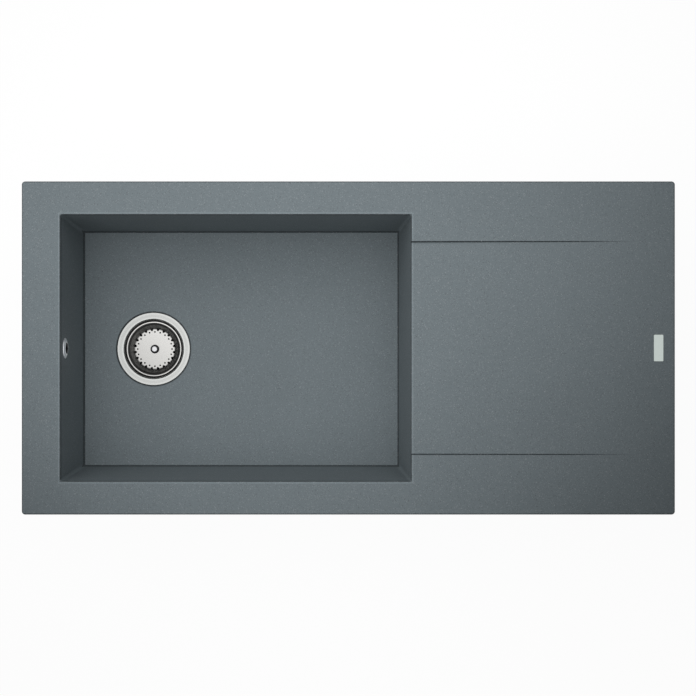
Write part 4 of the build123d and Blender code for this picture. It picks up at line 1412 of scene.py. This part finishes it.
@dataclass
class WasteBody(OnAxis):
    """Plastic body under the bowl, its seal, its brass insert and the screw that holds it."""

    plastic: Moulded = WHITE
    brass: Metal = Metal(0.28, pitch=0.5 * MM)
    steel: Metal = Metal(0.26, marks=0.05)
    thread: Thread = Thread(23.9 * MM, 2.309 * MM, -99.5 * MM, -72.0 * MM, depth_share=0.58, steps=64)
    outside: Profile = (
        (0, -11.5, 0), (58.0, -11.5, 0.4), (58.0, -15.5, 0.8), (49.0, -15.5, 1.5), (49.0, -46.0, 5.0),
        (23.9, -69.0, 2.0), (23.9, -71.0, 0.4),
    )
    inside: Profile = (
        (0, -10.0, 0), (46.5, -10.0, 0), (46.5, -46.0, 4.0), (20.5, -69.0, 3.0), (20.5, -103.0, 0),
        (0, -103.0, 0),
    )
    outlet_foot: float = -102.0
    branch_height: float = -54 * MM
    branch_reach: float = 62 * MM
    branch_radius: float = 13 * MM
    branch_bore: float = 9 * MM
    branch_root: float = 10 * MM
    bore_root: float = 15 * MM
    insert_hole: tuple[float, float, float] = (5.0 * MM, -60 * MM, -47 * MM)
    screw_end: tuple[float, float, float] = (3.25 * MM, -63 * MM, -59 * MM)
    edge: float = 0.5 * MM
    hub: tuple[float, float, float] = (8.5 * MM, -64 * MM, -48 * MM)
    spoke_count: int = 3
    spoke_width: float = 3 * MM
    spoke_reach: float = 50 * MM
    spoke_root_share: float = 1.03
    spoke_heights: tuple[float, float] = (-62 * MM, -50 * MM)
    spoke_phase: float = 60.0
    seal: Profile = (
        (47.0, -11.5, 0.4), (58.0, -11.5, 0.4), (58.0, -9.0, 0.6), (47.0, -9.0, 0.6),
    )
    insert: Profile = (
        (3.05, -60.0, 0.3), (4.99, -60.0, 0.3), (4.99, -55.0, 0.1), (4.6, -54.6, 0.1),
        (4.6, -53.4, 0.1), (4.99, -53.0, 0.1), (4.99, -48.0, 0.3), (3.05, -48.0, 0.3),
    )
    screw_thread: Thread = Thread(3.0 * MM, 1.0 * MM, -59.4 * MM, -47.5 * MM, steps=24)
    screw: Profile = (
        (0, -60.0, 0), (2.387, -60.0, 0.5), (2.387, -46.6, 0), (3.0, -46.2, 0), (3.0, -44.5, 0),
        (5.5, -44.5, 0.2), (5.5, -42.1, 0.8), (0, -42.1, 0),
    )
    slot_width: float = 1.4 * MM
    slot_depth: float = 1.2 * MM

    def build(self) -> None:
        """Model the body, the seal, the insert and the screw."""
        settle(self.body(), "waste_body", self.plastic, self.place)
        self.turn("waste_gasket", "body_seal", self.seal, RUBBER)
        self.turn("threaded_insert", "body_insert", self.insert, self.brass, sides=48)
        settle(self.centre_screw(), "centre_screw", self.steel, self.place)

    def body(self) -> bpy.types.Object:
        """Funnel with a clamping ring, a threaded outlet, the overflow branch and the hub.

        Returns:
            The body, about Z.
        """
        core = self.thread.core / MM
        foot = self.outlet_foot
        outlet = ((core, -71.8, 0.3), (core, foot + 1, 0), (core - 1, foot, 0), (0, foot, 0))
        body = turned("waste_body_moulding", rounded((*self.outside, *outlet)))
        along = aimed(Vector((-self.branch_reach, 0, self.branch_height)), Vector((1, 0, 0)))
        branch = rod("branch", self.branch_radius, 0, self.branch_reach - self.branch_root, sides=48)
        Bench.bevel(branch, self.edge)
        Bench.combine(body, Bench.move(branch, along), "UNION")
        Bench.combine(body, turned("cavity", rounded(self.inside)))
        bore = rod("bore", self.branch_bore, -MM, self.branch_reach - self.bore_root, sides=48)
        Bench.combine(body, Bench.move(bore, along))
        Bench.combine(body, self.web(), "UNION")
        Bench.combine(body, rod("insert_hole", *self.insert_hole, sides=48))
        Bench.combine(body, rod("screw_end", *self.screw_end, sides=32))
        return Bench.combine(body, self.thread.ridge(), "UNION")

    def web(self) -> bpy.types.Object:
        """Hub on spokes that reach into the funnel's wall.

        Returns:
            The hub and its spokes, about Z.
        """
        low, high = self.spoke_heights
        half = self.spoke_width / 2
        spokes = block("spoke", Vector((0, -half, low)), Vector((self.spoke_reach, half, high)))
        Bench.ring_of(spokes, Matrix(), self.spoke_count, self.spoke_phase)
        hub = rod("hub", *self.hub, sides=48)
        Bench.bevel(hub, self.edge)
        Bench.combine(hub, spokes, "UNION")
        inside = [(radius * self.spoke_root_share, height) for radius, height in rounded(self.inside)]
        return Bench.combine(hub, turned("limit", inside), "INTERSECT")

    def centre_screw(self) -> bpy.types.Object:
        """Slotted head and threaded shank.

        Returns:
            The screw, about Z.
        """
        screw = turned("waste_centre_screw", rounded(self.screw), segments=48)
        Bench.combine(screw, self.screw_thread.ridge(), "UNION")
        top, half, reach = self.screw[-1][1] * MM, self.slot_width / 2, 7 * MM
        low, high = Vector((-reach, -half, top - self.slot_depth)), Vector((reach, half, top + MM))
        return Bench.combine(screw, block("slot", low, high))


# ---- overflow ---------------------------------------------------------------------------------
@dataclass
class Overflow(OnAxis):
    """Rosette in the bowl's wall, and the seal and elbow behind it.

    Profiles stand on the rosette's axis: 0 on the bowl's wall, plus into the bowl.
    """

    lean: float = 4.63
    # The chrome is painted almost black inside the bore: painted shade in the rosette's opening.
    chrome: Metal = Metal(
        0.46, tint=(1.25, 1.27, 1.29), marks=0.04, relief=0.0, shade=0.06, level=True,
        painted_light_bands=((0, 0.03), (8.65, 0.03), (8.85, 1.0), (16, 1.0)),
    )
    plastic: Moulded = WHITE
    seal_middle: float = -9.97 * MM
    rosette: Profile = (
        (8.5, -21.0, 0.2), (10.5, -21.0, 0.3), (10.5, 0, 0), (15.5, 0, 0), (15.5, 1.0, 0.8),
        (10.5, 3.0, 2.5), (8.5, 3.0, 0.8),
    )
    seal: Profile = (
        (11.5, -10.97, 0.3), (17.0, -10.97, 0.3), (17.0, -8.97, 0.3), (11.5, -8.97, 0.3),
    )
    drum: Profile = (
        (0, -10.97, 0), (18.0, -10.97, 0.5), (18.0, -14.5, 0.3), (17.4, -15.0, 0.3),
        (17.4, -40.0, 0.3), (18.0, -40.5, 0.3), (18.0, -44.97, 3.0), (0, -44.97, 0),
    )
    socket: tuple[float, float, float] = (10.55 * MM, -21.97 * MM, -10 * MM)
    chamber: tuple[float, float, float] = (15.5 * MM, -42.47 * MM, -21.9 * MM)
    pipe_radius: float = 13 * MM
    pipe_bore: float = 9 * MM
    pipe_edge: float = 0.4 * MM

    @classmethod
    def in_wall(cls) -> "Overflow":
        """The overflow in its place.

        Returns:
            The overflow, on the axis that its seal has in the frame.
        """
        angle = math.radians(cls.lean)
        axis = Vector((math.cos(angle), 0, math.sin(angle)))
        return cls(aimed(Span.of("overflow_seal").middle - axis * cls.seal_middle, axis))

    def build(self) -> None:
        """Model the rosette, the seal and the elbow."""
        ring = turned("overflow_ring", rounded(self.rosette, step=9))
        settle(ring, "overflow_rosette", self.centred(self.chrome), self.place)
        self.turn("overflow_gasket", "overflow_seal", self.seal, RUBBER)
        settle(self.elbow(), "overflow_elbow", self.plastic)

    def elbow(self) -> bpy.types.Object:
        """Hollow drum behind the wall, with a pipe down to the hose.

        Returns:
            The elbow, in its place.
        """
        foot, top = Span.of("overflow_elbow").low.z, self.place.translation.z
        down = Matrix.Translation((Span.of("hose_seal_upper").middle.x, 0, 0))
        drum = turned("overflow_elbow_moulding", rounded(self.drum), segments=64)
        elbow = Bench.move(drum, self.place)
        pipe = rod("pipe", self.pipe_radius, foot, top, sides=48)
        Bench.bevel(pipe, self.pipe_edge)
        Bench.combine(elbow, Bench.move(pipe, down), "UNION")
        for hollow in (self.socket, self.chamber):
            Bench.combine(elbow, Bench.move(rod("cavity", *hollow, sides=64), self.place))
        bore = rod("bore", self.pipe_bore, foot - MM, top, sides=48)
        return Bench.combine(elbow, Bench.move(bore, down))


@dataclass
class Hose:
    """Ribbed hose between the elbow and the waste body, with its washers and union nuts."""

    plastic: Moulded = Moulded(0.45, relief=0.02 * MM, mottle=0.05)
    nut_plastic: Moulded = WHITE
    crest: float = 11.0 * MM
    root: float = 9.7 * MM
    bore: float = 8.5 * MM
    pitch: float = 4.0 * MM
    flank: float = 0.8 * MM
    crest_width: float = 1.4 * MM
    cuff: float = 12.7 * MM
    cuff_length: float = 3.0 * MM
    rib_edge: float = 0.25 * MM
    cuff_edge: float = 0.3 * MM
    bend: float = 64 * MM
    washer: Profile = ((9.0, 0, 0.2), (12.5, 0, 0.2), (12.5, 2.0, 0.2), (9.0, 2.0, 0.2))
    nut: Profile = (
        (13.05, -11.8, 0.3), (16.5, -11.8, 0.4), (16.5, 7.0, 0.3), (15.3, 8.2, 0.3), (11.3, 8.2, 0.3),
        (11.3, 5.2, 0), (13.05, 5.2, 0),
    )
    grip_count: int = 16
    grip_radius: float = 1.2 * MM
    grip_circle: float = 16.8 * MM
    grip_span: tuple[float, float] = (-13 * MM, 10 * MM)

    def build(self) -> None:
        """Model the hose, and a washer and a nut at each of its ends."""
        upper, lower = Span.of("hose_seal_upper"), Span.of("hose_seal_lower")
        top = Vector((upper.middle.x, 0, upper.low.z))
        foot = Vector((lower.low.x, 0, lower.middle.z))
        settle(self.tube(top, foot), "overflow_hose", self.plastic, Matrix.Translation(top))
        joints = {
            "upper": aimed(Vector((upper.middle.x, 0, upper.high.z)), Vector((0, 0, -1))),
            "lower": aimed(Vector((lower.high.x, 0, lower.middle.z)), Vector((-1, 0, 0))),
        }
        washer = turned("hose_washer", rounded(self.washer), segments=48)
        nut = self.union_nut()
        for end, place in joints.items():
            gasket = Bench.copy(washer, f"hose_washer_{end}", place)
            settle(gasket, f"hose_seal_{end}", RUBBER)
            collar = Bench.copy(nut, f"union_nut_{end}", place)
            settle(collar, f"hose_nut_{end}", self.nut_plastic)
        for model in (washer, nut):
            bpy.data.objects.remove(model)

    def tube(self, top: Vector, foot: Vector) -> bpy.types.Object:
        """The hose: one rib repeated along a straight tube, then bent along its path.

        Args:
            top: Where the hose starts, going down.
            foot: Where it ends, going along X.

        Returns:
            The bent hose, starting at the origin.
        """
        fall, run = top.z - foot.z, foot.x - top.x
        length = fall + run - 2 * self.bend + self.bend * math.pi / 2
        ribs = int((length - 2 * self.cuff_length - self.pitch) / self.pitch)
        first = (length - ribs * self.pitch) / 2
        log.info("hose: %.1f mm long, %d ribs, bend radius %.0f mm", length / MM, ribs, self.bend / MM)
        tube = Bench.ring("ribbed_hose", 48, self.root, first)
        soft = self.rib_edge
        rib = (
            (self.flank - soft / 2, self.crest - soft),
            (soft, self.crest),
            (self.crest_width - soft, self.crest),
            (soft, self.crest - soft),
            (self.flank - soft / 2, self.root),
            (self.pitch - 2 * self.flank - self.crest_width, self.root),
        )
        Bench.draw(self._stacked(first, rib))
        Bench.modify(
            tube,
            "ARRAY",
            count=ribs,
            use_relative_offset=False,
            use_constant_offset=True,
            constant_offset_displace=(0, 0, self.pitch),
            use_merge_vertices=True,
            merge_threshold=TOUCH,
        )
        self._end(tube, first + ribs * self.pitch, length)
        self._end(tube, first, 0)
        Bench.open(tube)
        Bench.pick(Kind.EDGES, is_open)
        bpy.ops.mesh.bridge_edge_loops(number_cuts=ribs, interpolation="LINEAR")
        Bench.face_outwards()
        path = self._path(fall, run)
        Bench.modify(tube, "CURVE", object=path, deform_axis="POS_Z")
        bpy.data.objects.remove(path)
        return tube

    def _stacked(self, height: float, steps: Sequence[tuple[float, float]]) -> Outline:
        """Rings on from the root, at a height.

        Args:
            height: Height of the first ring.
            steps: Rise and radius of each further ring.

        Returns:
            Radius and height of each ring.
        """
        rings = [(self.root, height)]
        for rise, radius in steps:
            rings.append((radius, rings[-1][1] + rise))
        return rings

    def _end(self, tube: bpy.types.Object, start: float, end: float) -> None:
        """Carry the open ring at a height on to the hose's end, with a cuff there.

        Args:
            tube: The straight tube.
            start: Height of the open ring.
            end: Height of the hose's end.
        """
        away = math.copysign(1, end - start)
        soft = self.cuff_edge
        steps = (
            (abs(end - start) - self.cuff_length, self.root),
            (0, self.cuff - soft),
            (soft, self.cuff),
            (self.cuff_length - 2 * soft, self.cuff),
            (soft, self.cuff - soft),
            (0, self.bore),
        )
        Bench.open(tube)
        Bench.pick(Kind.EDGES, lambda e: is_open(e) and abs(middle_of(e).z - start) < TOUCH)
        Bench.draw(self._stacked(start, [(away * rise, radius) for rise, radius in steps]))
        Bench.clear()

    def _path(self, fall: float, run: float) -> bpy.types.Object:
        """Curve that goes straight down, round the bend and straight on along X.

        Args:
            fall: How far it goes down.
            run: How far it goes along X.

        Returns:
            The curve, starting at the origin.
        """
        Bench.clear()
        bpy.ops.curve.primitive_bezier_curve_add(location=(0, 0, 0))
        path = bpy.context.object
        path.data.resolution_u = 64
        spline = path.data.splines[0]
        spline.bezier_points.add(2)
        # With handles of this length a Bezier curve follows a quarter circle.
        handle = self.bend * 4 / 3 * math.tan(math.pi / 8)
        down, along = Vector((0, 0, -1)), Vector((1, 0, 0))
        straight, tail = (fall - self.bend) / 3, (run - self.bend) / 3
        places = (
            (Vector((0, 0, 0)), down, straight, straight),
            (Vector((0, 0, self.bend - fall)), down, straight, handle),
            (Vector((self.bend, 0, -fall)), along, handle, tail),
            (Vector((run, 0, -fall)), along, tail, tail),
        )
        for point, (place, heading, back, ahead) in zip(spline.bezier_points, places):
            point.handle_left_type = point.handle_right_type = "FREE"
            point.co = place
            point.handle_left, point.handle_right = place - heading * back, place + heading * ahead
        return path

    def union_nut(self) -> bpy.types.Object:
        """Nut with grip grooves, along Z from the pipe's end.

        Returns:
            The nut.
        """
        nut = turned("union_nut", rounded(self.nut))
        groove = rod("groove", self.grip_radius, *self.grip_span, sides=16)
        circle = Matrix.Translation((self.grip_circle, 0, 0))
        return Bench.combine(nut, Bench.ring_of(groove, circle, self.grip_count))


# ---- worktop clips ----------------------------------------------------------------------------
@dataclass
class WorktopClips:
    """Eight clips: a plastic dowel in a boss, a hexagon screw and a bent steel jaw each."""

    count: int = 8
    plastic: Moulded = Moulded(0.42)
    zinc: Metal = ZINC
    anchor: Profile = (
        (0, 1.0, 0), (2.55, 1.0, 0), (2.55, -19.2, 0.3), (6.0, -19.2, 0.4), (6.0, -18.0, 0),
        (4.5, -18.0, 0), (4.1, -15.0, 0), (4.5, -14.6, 0), (4.1, -11.6, 0), (4.5, -11.2, 0),
        (4.1, -8.2, 0), (4.5, -7.8, 0), (4.1, -4.8, 0), (4.5, -4.4, 0), (4.1, 1.6, 0.3), (0, 2.0, 0),
    )
    thread: Thread = Thread(2.5 * MM, 0.8 * MM, -51.0 * MM, -12.3 * MM, steps=18)
    screw: Profile = (
        (0, -59.3, 0), (5.0, -59.3, 0.2), (5.0, -58.3, 0.3), (2.5, -58.3, 0), (2.5, -52.6, 0),
        (2.01, -52.1, 0), (2.01, -12.0, 0), (1.0, -10.0, 0.2), (0, -10.0, 0),
    )
    hexagon: float = 4.619 * MM
    head: tuple[float, float] = (-61.8 * MM, -59.1 * MM)
    head_edge: float = 0.25 * MM
    slot_width: float = 1.4 * MM
    slot_depth: float = 1.2 * MM
    jaw_sheet: float = 2.0 * MM
    jaw_width: float = 16.0 * MM
    jaw_edge: float = 0.2 * MM
    jaw_outer_bend: float = 2.2 * MM
    jaw_heel: tuple[float, float] = (-9 * MM, -50 * MM)
    jaw_base: float = -58 * MM
    jaw_rise_at: float = 23 * MM
    jaw_pad: tuple[float, float] = (30 * MM, -46 * MM)
    jaw_corner: float = 3 * MM
    jaw_hole: float = 2.55 * MM

    def build(self) -> None:
        """Model one clip and put eight of them in the frame."""
        anchor = turned("anchor", rounded(self.anchor), segments=32)
        screw, jaw = self.clip_screw(), self.clip_jaw()
        for number in range(1, self.count + 1):
            axis = Span.of(f"clip_screw_{number}").middle
            reach = Span.of(f"clip_jaw_{number}").middle - axis
            place = Matrix.Translation((axis.x, axis.y, 0))
            swing = Matrix.Rotation(math.atan2(reach.y, reach.x), 4, "Z")
            dowel = Bench.copy(anchor, f"clip_dowel_{number}", place)
            settle(dowel, "clip_anchors", self.plastic)
            bolt = Bench.copy(screw, f"clip_bolt_{number}", place)
            settle(bolt, f"clip_screw_{number}", self.zinc)
            grip = Bench.copy(jaw, f"clip_grip_{number}", place @ swing)
            settle(grip, f"clip_jaw_{number}", self.zinc)
        for model in (anchor, screw, jaw):
            bpy.data.objects.remove(model)

    def clip_screw(self) -> bpy.types.Object:
        """Threaded shank over a flanged, slotted hexagon head.

        Returns:
            The screw, about Z.
        """
        screw = turned("clip_screw", rounded(self.screw), segments=24)
        Bench.combine(screw, self.thread.ridge(), "UNION")
        head = rod("head", self.hexagon, *self.head, sides=6)
        Bench.bevel(head, self.head_edge)
        Bench.combine(screw, head, "UNION")
        foot, half, reach = self.head[0], self.slot_width / 2, 6 * MM
        low, high = Vector((-reach, -half, foot - MM)), Vector((reach, half, foot + self.slot_depth))
        return Bench.combine(screw, block("slot", low, high))

    def clip_jaw(self) -> bpy.types.Object:
        """Strip bent three times: heel, base, riser and gripping pad.

        Returns:
            The jaw, reaching along X from the screw's axis.
        """
        sheet, outer = self.jaw_sheet, self.jaw_outer_bend
        heel_x, heel_top = self.jaw_heel
        pad_x, pad_z = self.jaw_pad
        jaw = Bench.plate("clip_jaw", (heel_x + sheet / 2, 0, heel_top), sheet, self.jaw_width)
        low = self.jaw_base + outer
        riser = self.jaw_rise_at
        self._draw(0, low - heel_top)
        self._bend(heel_x + outer, low, 90)
        self._draw(riser - heel_x - 2 * outer, 0)
        self._bend(riser - outer, low, 90)
        self._draw(0, pad_z - outer - low)
        self._bend(riser + outer, pad_z - outer, -90)
        self._draw(pad_x - riser - outer, 0)
        tip = pad_x - TOUCH
        Bench.pick(Kind.EDGES, lambda e: middle_of(e).x > tip and rise_of(e) > sheet / 2)
        bpy.ops.mesh.bevel(offset=self.jaw_corner, segments=6, affect="EDGES")
        Bench.clear()
        hole = rod("hole", self.jaw_hole, self.jaw_base - MM, self.jaw_base + sheet + MM, sides=32)
        Bench.combine(jaw, hole)
        Bench.bevel(jaw, self.jaw_edge, above=50)
        return jaw

    @staticmethod
    def _draw(across: float, up: float) -> None:
        """Extrude the strip's open end straight on."""
        bpy.ops.mesh.extrude_region_move(TRANSFORM_OT_translate={"value": (across, 0, up)})

    @staticmethod
    def _bend(x: float, z: float, angle: float) -> None:
        """Spin the strip's open end about a point, in degrees, left turns positive."""
        axis = (0, math.copysign(1, angle), 0)
        bpy.ops.mesh.spin(steps=6, angle=math.radians(abs(angle)), center=(x, 0, z), axis=axis)


# ---- studio -----------------------------------------------------------------------------------
@dataclass
class Studio:
    """Pale floor, white surroundings, soft lamps and the camera of the photograph."""

    lens: float = 131.05
    sensor: float = 36.0
    camera_over_deck: float = 3.8
    camera_x: float = -0.5 * MM
    camera_y: float = -28 * MM
    shift_y: float = 0.0268
    floor_gap: float = 0.5 * MM
    floor_size: float = 30.0
    floor_grey: Colour = (0.88, 0.88, 0.88)
    floor_seen_grey: Colour = (0.97, 0.97, 0.97)
    floor_glow: float = 1.03
    glow_share: float = 0.75
    seen_glow_share: float = 0.18
    plain_level: float = 0.05
    key_power: float = 4.35
    key_place: tuple[float, float, float] = (-0.165, 0.245, 0.45)
    key_aim: tuple[float, float, float] = (-0.092, 0.185, 0)
    key_size: float = 1.17
    key_spread: float = 120.5

    def build(self) -> None:
        """Make the floor, the world, the lamp and the camera."""
        self.floor()
        self.world()
        self.key_lamp()
        self.camera()

    def floor(self) -> None:
        """A pale floor that shows nearly white, keeps the shadow and is clear from below."""
        height = CAD_BOX[0].z - self.floor_gap
        Bench.clear()
        bpy.ops.mesh.primitive_plane_add(size=self.floor_size, location=(0, 0, height))
        floor = bpy.context.object
        floor.name = "floor"
        shader = Shader.material("floor_paint")
        seen = shader.node("ShaderNodeLightPath", output="Is Camera Ray")
        tint = shader.blend(seen, self.floor_grey, self.floor_seen_grey)
        coat = shader.node("ShaderNodeBsdfDiffuse", inputs={"Color": tint})
        inputs = {"Color": WHITE_LIGHT, "Strength": self.floor_glow}
        glow = shader.node("ShaderNodeEmission", inputs=inputs)
        lit = self.glow_share + self.seen_glow_share * seen
        shade = shader.node("ShaderNodeMixShader", inputs={0: lit, 1: coat, 2: glow})
        below = shader.node("ShaderNodeNewGeometry", output="Backfacing")
        clear = shader.node("ShaderNodeBsdfTransparent")
        shade = shader.node("ShaderNodeMixShader", inputs={0: below, 1: shade, 2: clear})
        shader.node("ShaderNodeOutputMaterial", inputs={"Surface": shade})
        floor.data.materials.append(shader.owner)

    def world(self) -> None:
        """White where it is seen or mirrored, and a plain soft level as light."""
        world = bpy.data.worlds.new("white_room")
        bpy.context.scene.world = world
        shader = Shader(world)
        rays = shader.node("ShaderNodeLightPath", output="Is Camera Ray").socket.node.outputs
        seen = Signal(shader, rays["Is Camera Ray"]).larger(Signal(shader, rays["Is Glossy Ray"]))
        seen = seen.larger(Signal(shader, rays["Is Transmission Ray"]))
        strength = self.plain_level + (1 - self.plain_level) * seen
        back = shader.node("ShaderNodeBackground", inputs={"Color": WHITE_LIGHT, "Strength": strength})
        shader.node("ShaderNodeOutputWorld", inputs={"Surface": back})

    def key_lamp(self) -> None:
        """One square soft lamp over the rear left of the bowl."""
        data = bpy.data.lights.new("key_lamp", "AREA")
        data.size = self.key_size
        data.energy = self.key_power
        data.spread = math.radians(self.key_spread)
        lamp = bpy.data.objects.new("key_lamp", data)
        bpy.context.scene.collection.objects.link(lamp)
        lamp.location = self.key_place
        aim = Vector(self.key_aim) - Vector(self.key_place)
        lamp.rotation_euler = aim.to_track_quat("-Z", "Y").to_euler()
        lamp.visible_camera = lamp.visible_glossy = False

    def camera(self) -> None:
        """The photograph's camera: straight above, a little towards the front."""
        data = bpy.data.cameras.new("photo_camera")
        data.lens = self.lens
        data.sensor_width = self.sensor
        data.shift_y = self.shift_y
        camera = bpy.data.objects.new("photo_camera", data)
        bpy.context.scene.collection.objects.link(camera)
        camera.location = (self.camera_x, self.camera_y, CAD_BOX[1].z + self.camera_over_deck)
        bpy.context.scene.camera = camera
        bpy.context.scene.view_settings.view_transform = "Standard"


def main() -> None:
    """Build the sink's looks, sub-assembly by sub-assembly."""
    logging.basicConfig(level=logging.INFO, format="%(name)s: %(message)s")
    seal = Span.of("body_seal")
    drain = aimed(Vector((seal.middle.x, seal.middle.y, seal.high.z + CASTING_UNDER_DRAIN)))
    Studio().build()
    Casting(GraniteComposite(drain=tuple(drain.translation))).build()
    Strainer(drain).build()
    Basket(drain).build()
    Stopper(drain).build()
    WasteBody(drain).build()
    Overflow.in_wall().build()
    Hose().build()
    WorktopClips().build()


if __name__ == "__main__":
    main()
